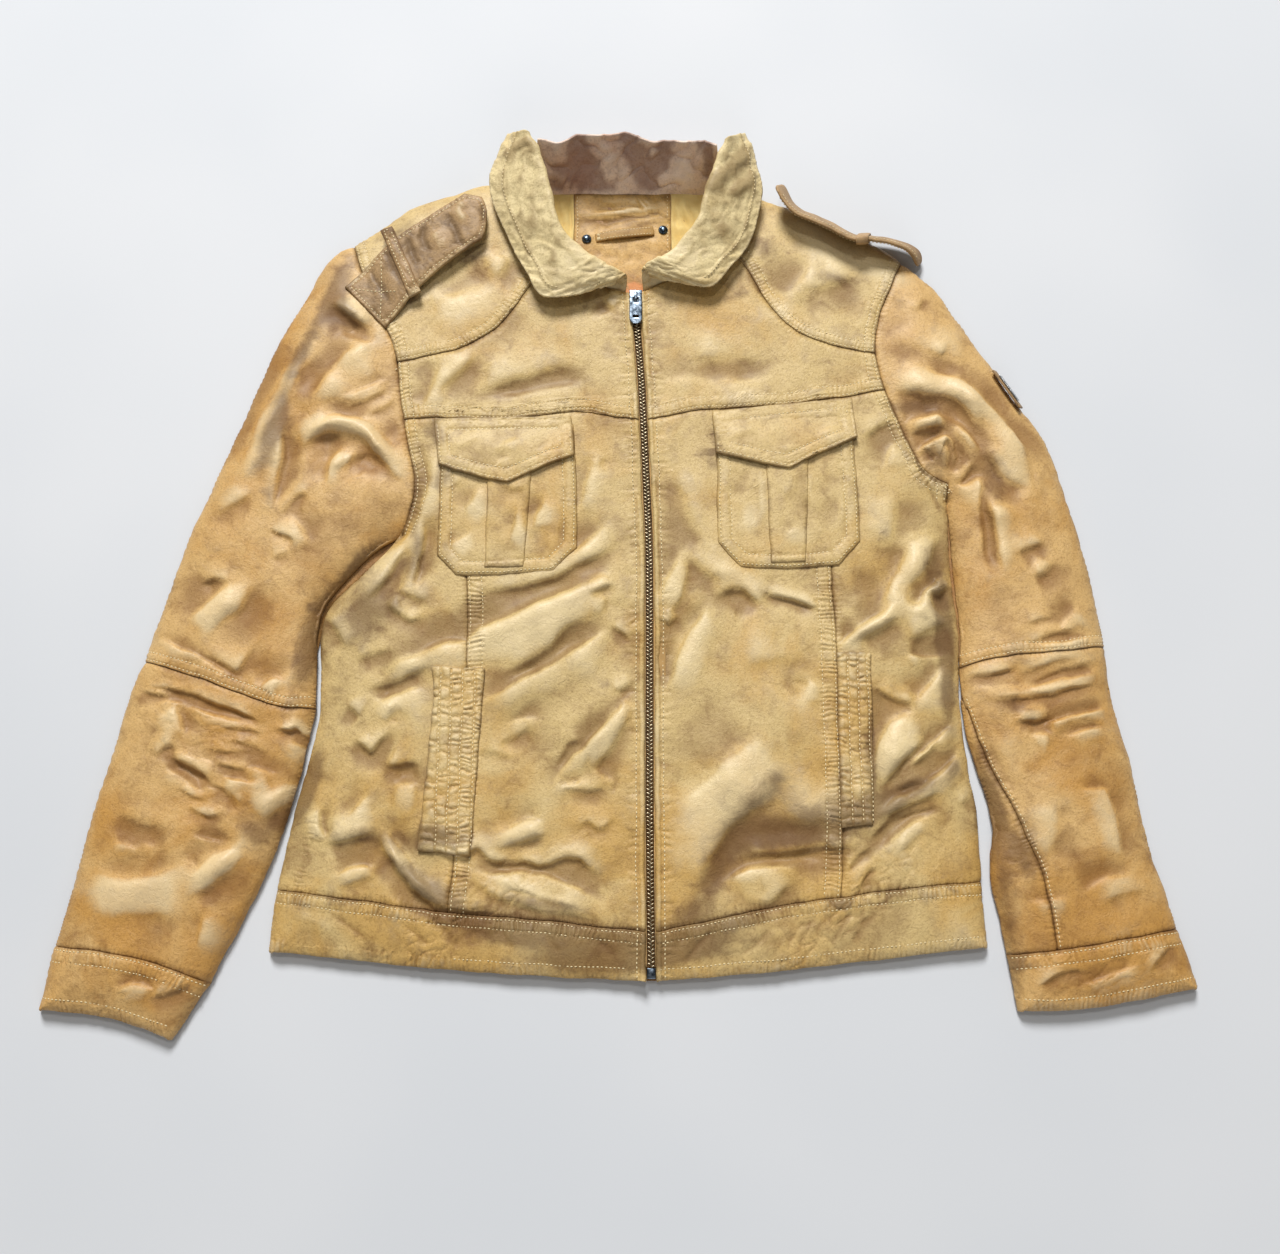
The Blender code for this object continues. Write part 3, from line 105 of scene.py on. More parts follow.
# Slopes of the folds: how far the leather falls across the line, from its right to its left,
# the half width of the slope, then x and y along the line
SLOPES = {
    "body": [
        (1.4, 6, -44, 4, -20, 27, -8, 40), (-2.2, 5.5, -124, -22, -90, -23, -62, -14, -40, -4, -20, 8, 2, 19),
        (2.5, 7.5, -208, -92, -185, -84, -152, -72, -131, -67, -112, -55, -83, -42, -62, -31, -26, -16, 0, -9),
        (-1.4, 4, -30, -27, -5, -18), (-1, 4, -17, -48, -11, -30),
        (-2.4, 7, -104, -100, -66, -79, -47, -60, -35, -51, -12, -47),
        (2.4, 6.5, -126, -121, -103, -112, -78, -96, -58, -87, -35, -73, -16, -62, 0, -60),
        (-1.3, 3, -8, -55, 9, -67), (-1.3, 4, -4, -112, 12, -101),
        (2.3, 5, -57, -196, -45, -170, -30, -157, -24, -149, -12, -139, -1, -125, 10, -108),
        (-2, 5, -24, -170, -10, -162, -1, -145, 8, -122), (-1.3, 4, -53, -173, -43, -156, -29, -150),
        (-1.3, 3.5, -101, -155, -87, -147, -72, -138), (1.1, 5, -97, -141, -80, -132, -62, -132),
        (-0.8, 4, -120, -165, -103, -162, -85, -166), (1, 3.5, -55, -186, -37, -187, -28, -178),
        (-1.2, 3.5, -50, -190, -24, -193, -10, -188), (1, 4, -22, -172, -4, -184),
        (-1.2, 3.5, -37, -226, -28, -216, -18, -221, -10, -220, -2, -211),
        (1.7, 5.5, -102, -229, -80, -219, -60, -216), (-2, 5, -106, -239, -93, -235, -78, -232, -54, -225),
        (-2.5, 4.5, -165, -241, -126, -245, -114, -240, -103, -248, -87, -250, -62, -252, -47, -246, -35, -246,
         -28, -252, -16, -260, -4, -268), (2, 4.5, -124, -255, -93, -258, -62, -259, -35, -270, -8, -286),
        (-0.9, 2.5, -105, -264, -87, -270, -68, -276, -47, -283, -22, -291),
        (-1.8, 5, -128, -261, -112, -270, -101, -277, -85, -281, -62, -287, -39, -291, -4, -294),
        (-2, 6, -172, -253, -158, -268, -149, -277, -139, -285, -122, -289, -87, -291),
        (1.3, 5, -37, 43, -32, 60, -24, 98), (-0.9, 4, -20, 85, -14, 98),
        (-1.8, 4.5, -176, -26, -173, -10, -170, 20, -167, 47),
        (1.4, 6, -205, -2, -188, 20, -172, 45, -166, 72, -170, 98, -178, 122),
        (-1.9, 5, -216, -38, -203, -20, -192, 0, -183, 22), (-1.2, 5, -190, -26, -178, -27, -162, -33),
        (-1.4, 4, -199, -32, -187, -42, -175, -48, -162, -43), (-1.8, 5, -251, -43, -240, -55, -229, -77),
        (-1.2, 5, -224, -85, -206, -80, -188, -73), (-2, 5, -213, -109, -190, -103, -175, -95, -158, -87),
        (1.8, 7, -203, -119, -185, -112, -162, -105), (-1.2, 4, -226, -121, -213, -131),
        (-1.2, 4, -194, -137, -186, -121),
        (-1.8, 4, -223, -149, -210, -157, -203, -160, -195, -150, -186, -141),
        (-1.7, 5, -197, -168, -180, -172, -160, -170), (1.8, 8, -187, -186, -163, -186),
        (1.2, 5, -219, -217, -212, -200, -202, -194), (-2, 3.5, -236, -234, -241, -220, -244, -203),
        (-2.6, 6, -240, -236, -218, -231, -203, -227, -190, -226),
        (2.2, 5, -192, -218, -175, -243, -160, -262, -143, -279),
        (-2.8, 5, -199, -223, -184, -245, -168, -266, -150, -283, -136, -291),
        (1.3, 4, -230, -263, -214, -252, -198, -254), (-1, 3.5, -225, -268, -208, -262, -196, -264),
        (-1.5, 9, 28, 94, 43, 88, 49, 72, 56, 47, 66, 20, 78, 9, 90, 6),
        (-1.6, 7, 48, 9, 64, -1, 83, -12, 106, -14), (1.3, 5, 30, -36, 43, -5, 52, 16),
        (-0.9, 3, 38, -52, 49, -33, 55, -8, 56, 10), (2.1, 6, 34, -112, 43, -96, 55, -66, 66, -46, 76, -27),
        (-2.2, 6, 78, -31, 92, -24, 103, -25, 112, -31, 122, -38),
        (-1.6, 3, 116, -19, 129, -28, 144, -33, 162, -39, 170, -39), (-1.3, 3.5, 29, -45, 39, -52, 49, -45),
        (1.2, 5, 151, -120, 154, -98), (-1, 9, 98, -86, 125, -83, 154, -86),
        (2.4, 15, 40, -206, 68, -186, 98, -160, 120, -140),
        (-3.2, 12, 60, -278, 66, -262, 76, -243, 89, -223, 103, -210, 116, -198, 128, -185, 138, -170),
        (-3, 14, 96, -226, 140, -219, 192, -214),
        (-2.4, 5, 86, -255, 103, -246, 124, -243, 143, -243, 162, -240, 185, -239, 203, -232),
        (2, 5, 70, -269, 93, -257, 110, -254, 135, -250, 166, -248),
        (-1.5, 5, 94, -269, 103, -279, 116, -282, 128, -273, 141, -260),
        (-1.4, 3, 180, -256, 193, -245, 204, -240), (-1.1, 3.5, 184, -275, 193, -264, 202, -253),
        (2.4, 9, 207, -47, 222, -30, 235, -10, 242, 5, 247, 24), (-2.2, 7, 243, -24, 255, -5, 265, 12, 277, 27),
        (-1.4, 8, 226, 14, 233, 38, 238, 64), (1.6, 3.5, 248, -32, 262, -20, 277, -5),
        (-2.6, 4.5, 259, -23, 270, -26, 280, -14), (1.8, 6, 243, -44, 254, -33, 262, -28),
        (2, 4, 181, -74, 200, -57, 215, -45, 234, -33), (-1.8, 5, 192, -71, 215, -56, 234, -42),
        (-2.2, 8, 238, -64, 258, -59, 277, -48), (1.7, 4, 237, -77, 255, -81, 274, -79),
        (-1.7, 4, 208, -107, 225, -117, 248, -120), (1.6, 6, 240, -125, 255, -105, 268, -92, 278, -84),
        (2.6, 9, 206, -180, 213, -155, 222, -138, 244, -122),
        (-2.4, 5.5, 211, -193, 225, -175, 240, -160, 254, -144),
        (1.6, 4, 226, -180, 243, -165, 255, -155, 270, -140, 280, -127),
        (-1.6, 4, 234, -175, 250, -163, 263, -149), (-1.4, 3.5, 220, -193, 238, -186, 255, -184),
        (2.3, 4, 203, -212, 222, -198, 240, -188, 262, -178, 275, -165, 285, -150),
        (-2, 4.5, 209, -214, 225, -206, 245, -198, 262, -191), (-1.1, 3, 220, -213, 240, -209, 262, -203),
        (-2, 5, 203, -234, 212, -222, 224, -208),
        (1.8, 7, 186, -256, 205, -243, 220, -230, 240, -215, 262, -206),
        (-1, 4, 222, -242, 235, -232, 250, -221), (-1.2, 4, 274, -206, 286, -198, 291, -183),
        (-1.5, 6, -165, 155, -150, 165, -138, 178, -126, 193),
        (-1.5, 8, -136, 154, -110, 158, -90, 167, -70, 172, -50, 178, -32, 190),
        (1.2, 7, -130, 147, -90, 155, -50, 163, -22, 168), (1.2, 5, -173, 140, -165, 165, -154, 184),
        (-1.1, 5, -19, 246, -8, 234), (-1.2, 10, 56, 190, 80, 186, 105, 185, 136, 179),
        (1.1, 9, 30, 166, 80, 168, 130, 163), (1.3, 11, -172, 252, -145, 250, -112, 262),
        (-1.5, 7, -118, 262, -106, 272, -98, 286), (1.2, 10, 148, 240, 154, 258, 170, 276),
        (-1.4, 10, 152, 258, 180, 256, 214, 266), (-1.3, 5, 208, 112, 222, 121, 238, 130),
        (1.2, 6, 226, 84, 230, 98, 237, 112),
    ],
    "sleeve_l": [
        (1.6, 12, -330, 70, -314, 118, -300, 155, -284, 190, -262, 222),
        (-1.8, 9, -316, 66, -306, 105, -296, 140, -280, 172, -258, 205),
        (2, 9, -278, 142, -258, 170, -236, 192, -212, 204),
        (-3.4, 6, -281, 98, -265, 112, -250, 118, -235, 117, -220, 110, -208, 95, -195, 80, -183, 66),
        (2.2, 5.5, -268, 118, -250, 128, -236, 129, -221, 121, -203, 104, -190, 88),
        (1.8, 5, -254, 66, -250, 88, -243, 106), (-3.4, 6, -258, 244, -242, 226, -222, 213),
        (2, 6, -252, 214, -236, 205, -216, 200), (-1.7, 5, -254, 72, -238, 88, -222, 97, -208, 93),
        (-2, 4.5, -298, 36, -294, 75, -293, 105, -290, 137), (1, 3, -248, 148, -228, 156, -203, 168),
        (-1.2, 3, -240, 140, -222, 147, -202, 158), (-1, 3, -224, 132, -208, 140, -196, 150),
        (-1.4, 5, -349, 40, -332, 49, -314, 62), (-1.5, 5, -292, 38, -278, 57, -264, 56),
        (1.3, 6, -284, 46, -272, 30, -258, 16), (-1.2, 2.8, -300, 28, -285, 22, -272, 15),
        (-1, 3.5, -296, 2, -278, 9), (-1.7, 4, -354, -20, -341, -15, -327, -19),
        (-2, 8, -350, -64, -335, -50, -322, -40, -312, -28, -305, -14),
        (1.8, 8, -366, -50, -345, -35, -326, -18),
        (1.2, 3, -394, -60, -365, -75, -345, -85, -325, -95, -306, -98),
        (-1.4, 4, -354, -76, -330, -88, -316, -93, -306, -78, -300, -66),
        (1.8, 5, -300, -108, -288, -100, -278, -104),
        (-1.8, 2.6, -398, -106, -376, -108, -350, -114, -330, -121, -310, -130, -288, -138),
        (1.3, 3.5, -390, -118, -360, -122, -330, -130, -305, -138),
        (-1.4, 2.6, -396, -109, -386, -113, -372, -116),
        (-2.2, 2.8, -286, -141, -272, -144, -266, -142, -258, -147, -246, -146),
        (1.6, 3.5, -272, -152, -260, -156, -250, -152), (-1.6, 4.5, -356, -150, -362, -135, -368, -122),
        (-1.3, 4, -380, -166, -372, -158, -362, -153),
        (-2, 3.8, -368, -163, -352, -174, -340, -181, -330, -188),
        (-1.2, 4.5, -330, -188, -318, -195, -304, -206), (1.4, 4, -372, -172, -352, -184, -334, -196),
        (-0.9, 2, -332, -140, -300, -144, -288, -149), (-0.9, 2, -322, -150, -300, -156, -284, -163),
        (-0.8, 2.2, -338, -156, -318, -161, -300, -160), (0.9, 2.2, -326, -181, -308, -184, -290, -187),
        (-0.8, 2.2, -334, -170, -314, -174, -292, -176), (1.2, 5, -310, -176, -294, -174, -278, -182),
        (1.6, 7, -286, -200, -272, -190, -258, -183), (-3, 7, -291, -219, -276, -203, -258, -186),
        (1, 2.4, -346, -226, -330, -231, -314, -236), (-1.2, 3, -352, -205, -335, -212, -318, -210),
        (-0.8, 2, -362, -190, -346, -197, -330, -203), (0.9, 3, -410, -232, -396, -236, -384, -242),
        (2.2, 8, -345, -262, -324, -247, -304, -238), (-2.4, 7, -342, -280, -324, -263, -300, -246),
        (1.6, 9, -424, -252, -396, -262, -366, -258, -338, -244),
        (-1.2, 8, -424, -288, -396, -286, -366, -292, -340, -300), (-1, 5, -412, -212, -386, -220, -356, -222),
        (0.9, 5, -416, -222, -390, -232, -360, -236), (-1.1, 4, -331, -288, -332, -304, -334, -318),
        (-1.3, 3.5, -372, -352, -352, -350, -334, -342), (1.2, 3.5, -398, -349, -382, -344, -364, -346),
    ],
    "sleeve_r": [
        (2.4, 5.5, 250, 170, 276, 172, 300, 160, 320, 140, 340, 114, 352, 85, 357, 40),
        (-3.4, 8, 234, 152, 258, 153, 282, 150, 298, 136, 308, 118),
        (2.2, 5, 243, 126, 265, 131, 288, 127, 303, 112, 311, 92), (-2, 4.5, 249, 113, 262, 120, 282, 119),
        (2, 4, 254, 98, 264, 108, 278, 113, 287, 106), (-2.2, 3, 283, 77, 287, 90, 286, 104, 280, 114),
        (-1.6, 2.5, 262, 104, 268, 96, 272, 90), (-2.4, 7, 313, 104, 320, 86, 331, 72, 352, 65),
        (1.6, 3.5, 356, 58, 353, 85, 344, 112), (-1.6, 10, 236, 205, 270, 192, 304, 178),
        (-1, 4, 281, 186, 287, 202), (-0.9, 3, 262, 230, 269, 246), (1.8, 5, 286, 68, 298, 71, 312, 77),
        (-1.8, 4, 288, 70, 296, 79, 302, 90), (2, 5, 322, -18, 318, 5, 317, 24, 315, 42, 311, 66),
        (-1.1, 3.5, 311, -14, 308, 20, 308, 58, 306, 90), (-1.7, 5, 333, 6, 350, 14, 360, 20),
        (-2, 5, 346, -12, 358, -9, 367, 4), (-1, 3, 338, -53, 350, -49, 362, -48),
        (1.6, 6, 364, -62, 374, -48, 386, -38), (-0.9, 3, 336, -70, 365, -61, 384, -54),
        (1.5, 4, 346, -73, 370, -68, 394, -64), (-1.5, 3, 280, -99, 310, -95, 334, -91),
        (-1.2, 3, 328, -96, 360, -87, 384, -81), (-1.2, 3, 336, -103, 370, -92, 402, -84),
        (1.2, 3, 330, -108, 370, -99, 400, -93),
        (-1.7, 3.2, 296, -119, 320, -117, 350, -113, 375, -107, 400, -103),
        (-1.8, 3.5, 318, -133, 345, -136, 362, -131), (1.7, 3, 336, -140, 370, -131, 404, -122),
        (1.2, 3, 360, -148, 382, -143, 400, -139), (1.3, 5, 334, -149, 345, -146, 356, -148),
        (-1.4, 5, 404, -252, 402, -230, 398, -200, 392, -184), (0.8, 3, 370, -193, 402, -189),
        (1.3, 5, 366, -276, 390, -262, 414, -257), (1.1, 5, 322, -281, 345, -277, 360, -280),
        (-1, 5, 384, -282, 404, -274, 424, -272), (-1.3, 9, 340, -250, 350, -228, 352, -200),
        (-1, 6, 300, -150, 312, -168, 322, -190), (-1.2, 3, 326, -347, 352, -335, 372, -333),
        (1.2, 3, 360, -347, 395, -334, 414, -324), (-1.2, 3.5, 416, -335, 430, -321, 438, -312),
    ],
    "patches": [
        (1.3, 4, -151, 10, -138, 22, -124, 28), (1.5, 4.5, -135, 42, -128, 54, -125, 68),
        (1.4, 3.5, -93, 14, -90, 33, -90, 54), (1.4, 4.5, -76, 26, -72, 46, -66, 62),
        (-1, 3, -106, 72, -92, 64, -78, 66), (-0.9, 3, -150, 66, -138, 74), (-0.9, 4, -62, 8, -54, 24, -50, 44),
        (1.2, 4, -112, 102, -98, 108, -84, 112), (-1, 3.5, -146, 96, -132, 104, -120, 116),
        (1, 3.5, -108, 90, -94, 94), (1, 4, -72, 96, -58, 106), (1.4, 3, 118, 36, 119, 60, 118, 84),
        (1.3, 3, 161, 44, 160, 62, 161, 82), (1.1, 4, 104, 52, 110, 70, 112, 88),
        (1.1, 4, 176, 24, 184, 42, 186, 66), (1, 3.5, 136, 24, 150, 34), (-0.9, 4, 136, 54, 146, 66, 148, 84),
        (1.1, 4, 132, 100, 146, 105, 158, 103), (-1, 4, 92, 108, 108, 116, 124, 118),
        (1, 4, 168, 112, 184, 122),
    ],
}
# Creases where the leather is pinched, and hollows, in the way of the folds
CREASES = {
    "body": [
        (-0.9, 2.2, 2.2, -28, -180, -26, -159), (-0.9, 2.2, 2.2, -6, -194, -1, -180),
        (-1.1, 2.2, 2.2, 118, -20, 129, -28, 144, -33, 162, -39),
        (-1, 2.4, 2.4, -141, -300, -131, -312, -122, -318), (-1.2, 2.4, 2.4, 187, -287, 178, -298, 168, -314),
        (-1.1, 2.4, 2.4, 205, -289, 193, -300, 183, -314), (-1, 2.2, 2.2, 137, -304, 132, -319),
        (-1.1, 2.4, 2.4, 122, -300, 106, -314, 94, -323), (-0.9, 2.2, 2.2, 142, -299, 160, -294),
        (-1.1, 2.4, 2.4, 79, -300, 62, -314, 48, -329), (-1, 2.2, 2.2, -176, -294, -160, -308, -150, -318),
        (-1, 2.2, 2.2, -232, -290, -212, -302, -198, -312), (1.2, 5, 5, -258, -290, -240, -296, -226, -306),
        (-1, 2.2, 2.2, -96, -300, -84, -318), (-1, 2.2, 2.2, -62, -302, -46, -322),
        (-0.9, 2.2, 2.2, -20, -306, -2, -324), (-1.1, 2.4, 2.4, 196, -274, 198, -262, 206, -252),
        (-1.2, 2.2, 2.2, 254, 92, 258, 84, 268, 62, 276, 40),
    ],
    "sleeve_l": [
        (-1.1, 2.2, 2.2, -368, -107, -340, -118, -320, -127, -292, -138),
        (-0.8, 2, 2, -300, 27, -285, 22, -274, 16), (-0.9, 2.2, 2.2, -366, -169, -340, -182, -316, -197),
    ],
    "sleeve_r": [
        (-1, 2, 2, 300, -118, 350, -113, 398, -103), (-4.5, 4, 4, 283, 80, 284, 98, 281, 112),
        (-2.4, 3, 3, 266, 106, 271, 92), (-0.9, 2, 2, 338, -138, 372, -130, 402, -122),
        (-0.9, 2, 2, 286, -98, 330, -92),
    ],
    "strap": [
        (-1.8, 3, 3, -191, 300, -186, 284, -181, 270), (-1.8, 3, 3, -177, 314, -178, 298, -170, 282),
        (-2, 3, 3, -159, 322, -149, 306, -146, 294, -136, 290), (1.6, 5, 5, -142, 336, -146, 322, -139, 310),
        (1.4, 6, 6, -168, 306, -158, 286), (-1.4, 2.5, 3, -125, 330, -120, 312),
        (-1.4, 3, 3, -214, 294, -204, 272, -192, 252), (-1, 2.5, 2.5, -226, 272, -214, 252, -202, 234),
    ],
    "facing": [
        (-3.2, 2.4, 3, -42, 326, -24, 329, -14, 327, -2, 330, 20, 332, 30, 335, 43, 336),
        (2.2, 3, 3, -42, 332, -10, 335, 20, 338, 43, 341),
        (-2.4, 2.2, 2.4, -40, 345, -22, 346, -10, 343, 30, 342),
        (-2.2, 2, 2.4, -34, 337, -20, 339, -10, 341, 6, 338), (-1.6, 2, 2, 8, 346, 22, 337, 36, 334),
        (-2.2, 2, 2, 50, 352, 55, 334, 60, 316), (-2.2, 2, 2, 58, 352, 64, 334, 70, 318),
        (-1.8, 2, 2, 47, 340, 50, 322, 54, 304), (-1.8, 2, 2, 66, 350, 71, 336, 76, 324),
        (-1.8, 2, 2, -50, 352, -48, 330, -46, 312), (-1.8, 2, 2, -60, 350, -57, 332, -54, 318),
    ],
}
# Wrinkled places: x, y, reach along and across, turn, grain along and across, depth
WRINKLES = [
    (-340, -150, 80, 50, -20, 34, 8, 0.7), (-330, -215, 70, 45, -30, 30, 11, 0.5),
    (345, -125, 70, 45, 6, 40, 8, 0.5), (318, -245, 14, 50, 8, 26, 5, 0.6),
    (-385, -350, 60, 14, 20, 18, 7, 0.8), (380, -338, 70, 14, 20, 18, 8, 0.9),
    (-150, -315, 160, 25, 35, 16, 8, 1.1), (160, -305, 150, 25, 40, 18, 9, 1.1),
    (-235, 80, 50, 50, 50, 26, 12, 0.5), (290, 100, 50, 50, -40, 24, 11, 0.5),
]


# ---------------------------------------------------------------- measuring in the plan
def smooth_step(t):
    t = np.clip(t, 0.0, 1.0)
    return t * t * (3 - 2 * t)


def bell(away, width):
    """A soft bump, 1 in the middle and about a third at its width."""
    return np.exp(-((away / width) ** 2))


def lumps(x, y, size, seed):
    """A smooth random height from about -1 to 1, with lumps of a size."""
    turns = np.random.default_rng(seed).uniform(0, 2 * math.pi, (128, 128))
    u, v = x / size, y / size
    i, j = np.floor(u).astype(int), np.floor(v).astype(int)
    s, t = u - i, v - j
    corners = []
    for a in (0, 1):
        for b in (0, 1):
            turn = turns[(i + a) % 128, (j + b) % 128]
            corners.append(np.cos(turn) * (s - a) + np.sin(turn) * (t - b))
    fade_s = s * s * s * (s * (s * 6 - 15) + 10)
    fade_t = t * t * t * (t * (t * 6 - 15) + 10)
    low = corners[0] + fade_t * (corners[1] - corners[0])
    high = corners[2] + fade_t * (corners[3] - corners[2])
    return 1.6 * (low + fade_s * (high - low))


def creased(x, y, along, across, turn, seed):
    """Soft pillows between thin creases, about -1 in a crease and 0 on a pillow."""
    c, s = math.cos(math.radians(turn)), math.sin(math.radians(turn))
    u, v = (c * x + s * y) / along, (c * y - s * x) / across
    u, v = u + 0.35 * lumps(x, y, 21, seed + 7), v + 0.35 * lumps(x, y, 17, seed + 9)
    return -((1 - np.minimum(1, np.abs(lumps(u, v, 1.0, seed)) * 1.5)) ** 3)


def tree_of(points):
    """Points in the plan, to find the nearest one to a place."""
    tree = kdtree.KDTree(len(points))
    for k, (x, y) in enumerate(points):
        tree.insert((x, y, 0.0), k)
    tree.balance()
    return tree


class Track:
    """A line in the plan, to tell how near a place is to it and how far along."""

    def __init__(self, points, closed=False, step=1.5):
        line = [np.array(p[:2], float) for p in points]
        if closed:
            line.append(line[0])
        run = [line[0]]
        for start, end in zip(line, line[1:]):
            count = max(1, round(float(np.linalg.norm(end - start)) / step))
            run += [start + (end - start) * k / count for k in range(1, count + 1)]
        self.points = np.array(run)
        steps = np.linalg.norm(np.diff(self.points, axis=0), axis=1)
        self.along = np.concatenate([[0.0], np.cumsum(steps)])
        self.length = float(self.along[-1])
        self.tree = tree_of(self.points)

    def nearest(self, places):
        """How far each place is from the line, and how far along its nearest point is."""
        found = np.array([self.tree.find((x, y, 0.0))[1] for x, y in places], int)
        best = np.full(len(places), np.inf)
        along = np.zeros(len(places))
        for shift in (-1, 0):
            first = np.clip(found + shift, 0, len(self.points) - 2)
            start, end = self.points[first], self.points[first + 1]
            run = end - start
            share = np.sum((places - start) * run, axis=1) / np.maximum(1e-9, np.sum(run * run, axis=1))
            share = np.clip(share, 0, 1)
            away = np.linalg.norm(places - start - run * share[:, None], axis=1)
            nearer = away < best
            best = np.where(nearer, away, best)
            along = np.where(nearer, self.along[first] + share * np.linalg.norm(run, axis=1), along)
        return best, along

    def at(self, along, inside=0.0):
        """A point along the line, moved to its left."""
        k = int(np.clip(np.searchsorted(self.along, along) - 1, 0, len(self.points) - 2))
        start, end = self.points[k], self.points[k + 1]
        run = (end - start) / max(1e-9, float(np.linalg.norm(end - start)))
        share = along - self.along[k]
        return start + run * share + np.array((-run[1], run[0])) * inside, run


def from_line(places, line):
    """How far left of a line each place is, and its share of the way along."""
    runs = np.diff(line, axis=0)
    lengths = np.linalg.norm(runs, axis=1)
    starts = np.concatenate([[0.0], np.cumsum(lengths)])
    best = np.full(len(places), np.inf)
    left = np.zeros(len(places))
    along = np.zeros(len(places))
    for start, run, length, before in zip(line, runs, lengths, starts):
        away = places - start
        share = np.clip(away @ run / length**2, 0, 1)
        off = np.linalg.norm(away - run * share[:, None], axis=1)
        nearer = off < best
        best = np.where(nearer, off, best)
        left = np.where(nearer, off * np.sign(run[0] * away[:, 1] - run[1] * away[:, 0]), left)
        along = np.where(nearer, (before + share * length) / starts[-1], along)
    return left, along


def near_line(places, line, reach):
    """Which places are near a line, and where they are beside it."""
    near = np.flatnonzero(np.all((places > line.min(0) - reach) & (places < line.max(0) + reach), axis=1))
    return (near, *from_line(places[near], line))


def pairs_of(line):
    """The x and y of a table's line as points."""
    return np.array(line, float).reshape(-1, 2)


def fold_relief(places, folds):
    """The height of a table of ridges and troughs at each place."""
    total = np.zeros(len(places))
    x, y = places[:, 0], places[:, 1]
    moved = places + np.stack([lumps(x, y, 30, 3), lumps(x, y, 28, 4)], 1) * 1.2
    for height, left, right, *line in folds:
        near, off, along = near_line(moved, pairs_of(line), 2.6 * max(left, right))
        ends = smooth_step(np.minimum(along, 1 - along) / 0.3 + 0.12)
        width = np.where(off > 0, left, right) * (0.7 + 0.3 * ends)
        total[near] += height * bell(off, width) * ends
    return total


def slope_relief(places, slopes):
    """The height of a table of slopes: each falls across its line and levels out beside it."""
    total = np.zeros(len(places))
    x, y = places[:, 0], places[:, 1]
    moved = places + np.stack([lumps(x, y, 34, 5), lumps(x, y, 32, 6)], 1) * 2.2
    moved += np.stack([lumps(x, y, 11, 7), lumps(x, y, 12, 8)], 1) * 0.7
    for k, (fall, half, *line) in enumerate(slopes):
        points = pairs_of(line)
        smooth = spline(points, 5 * len(points)) if len(points) > 2 else points
        near, off, along = near_line(moved, smooth, SLOPE_REACH * half)
        ends = smooth_step(np.minimum(along, 1 - along) / 0.32)
        length = float(np.linalg.norm(points[-1] - points[0]))
        ends = ends * (0.85 + 0.45 * lumps(along * length, along * 0 + 3.7 * k, 24, 9))
        u = off / (half * (0.7 + 0.3 * np.clip(ends, 0, 1)))
        levelling = u * np.exp(1 - np.sqrt(u * u + 0.05)) * smooth_step((SLOPE_REACH - np.abs(u)) / 2)
        total[near] -= fall * ends * levelling
    return total


def wrinkle_relief(places):
    """The slight unevenness of worn leather everywhere, and its fine creasing where it is tabled."""
    x, y = places[:, 0], places[:, 1]
    total = 1.0 * lumps(x, y, 48, 21) + 0.3 * lumps(x, y, 21, 22)
    for k, (cx, cy, along, across, turn, grain, fine, depth) in enumerate(WRINKLES):
        c, s = math.cos(math.radians(turn)), math.sin(math.radians(turn))
        u, v = c * (x - cx) + s * (y - cy), c * (y - cy) - s * (x - cx)
        strength = np.exp(-((u / along) ** 2 + (v / across) ** 2) * 1.2)
        near = strength > 0.03
        total[near] += depth * strength[near] * creased(x[near], y[near], grain, fine, turn, 40 + k)
    return total


# ---------------------------------------------------------------- sheets cut from the solids
def plan_of(node):
    """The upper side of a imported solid, in the tables' millimetres."""
    bm = bmesh.new()
    bm.from_mesh(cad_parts[node].data)
    bmesh.ops.remove_doubles(bm, verts=bm.verts[:], dist=1e-5)
    bm.normal_update()
    bmesh.ops.delete(bm, geom=[f for f in bm.faces if f.normal.z < 0.2], context="FACES")
    bmesh.ops.scale(bm, vec=(1 / MM, 1 / MM, 1 / MM), verts=bm.verts[:])
    bmesh.ops.translate(bm, vec=-CENTRE, verts=bm.verts[:])
    return bm


def outline_of(bm):
    """The points round a sheet, anticlockwise."""
    edge = next(e for e in bm.edges if e.is_boundary)
    start = vert = edge.verts[0]
    ring = []
    while True:
        ring.append(vert)
        vert = edge.other_vert(vert)
        if vert is start:
            break
        edge = next(e for e in vert.link_edges if e.is_boundary and e is not edge)
    area = sum(a.co.x * b.co.y - b.co.x * a.co.y for a, b in zip(ring, ring[1:] + ring[:1]))
    return ring if area > 0 else ring[::-1]


def both_sides(*parts):
    return [part + side for part in parts for side in ("_l", "_r")]


UPPER = {
    "body": both_sides("shoulder_yoke", "chest", "centre_front", "side_front", "hem_band_front"),
    "sleeve_l": ["upper_sleeve_l", "forearm_l", "cuff_front_l"],
    "sleeve_r": ["upper_sleeve_r", "forearm_r", "forearm_inner_r", "cuff_front_r"],
}
NECK_Y = 245
NECK_X = (-93, 103)
ZIP_X, ZIP_NEAR = 19, 13
APPLIED = both_sides("chest_pocket", "pocket_pleat", "pocket_flap", "welt")
APPLIED += ["epaulette_l", "epaulette_clip_l"]
LINES = {}
TRACKS = {}
RIMS = {group: [] for group in UPPER}
MOUTHS = {group: [] for group in UPPER}


def read_outline(name):
    bm = plan_of(name)
    LINES[name] = np.array([v.co for v in outline_of(bm)])
    TRACKS[name] = Track(LINES[name], closed=True)
    bm.free()


def stretches(name, others):
    """The short stretches of an outline, and whether each lies against another piece."""
    line = LINES[name]
    for start, end in zip(line, np.roll(line, -1, axis=0)):
        middle = ((start + end) / 2)[None, :2]
        yield start, end, min(TRACKS[n].nearest(middle)[0][0] for n in others) < SEAM_REACH


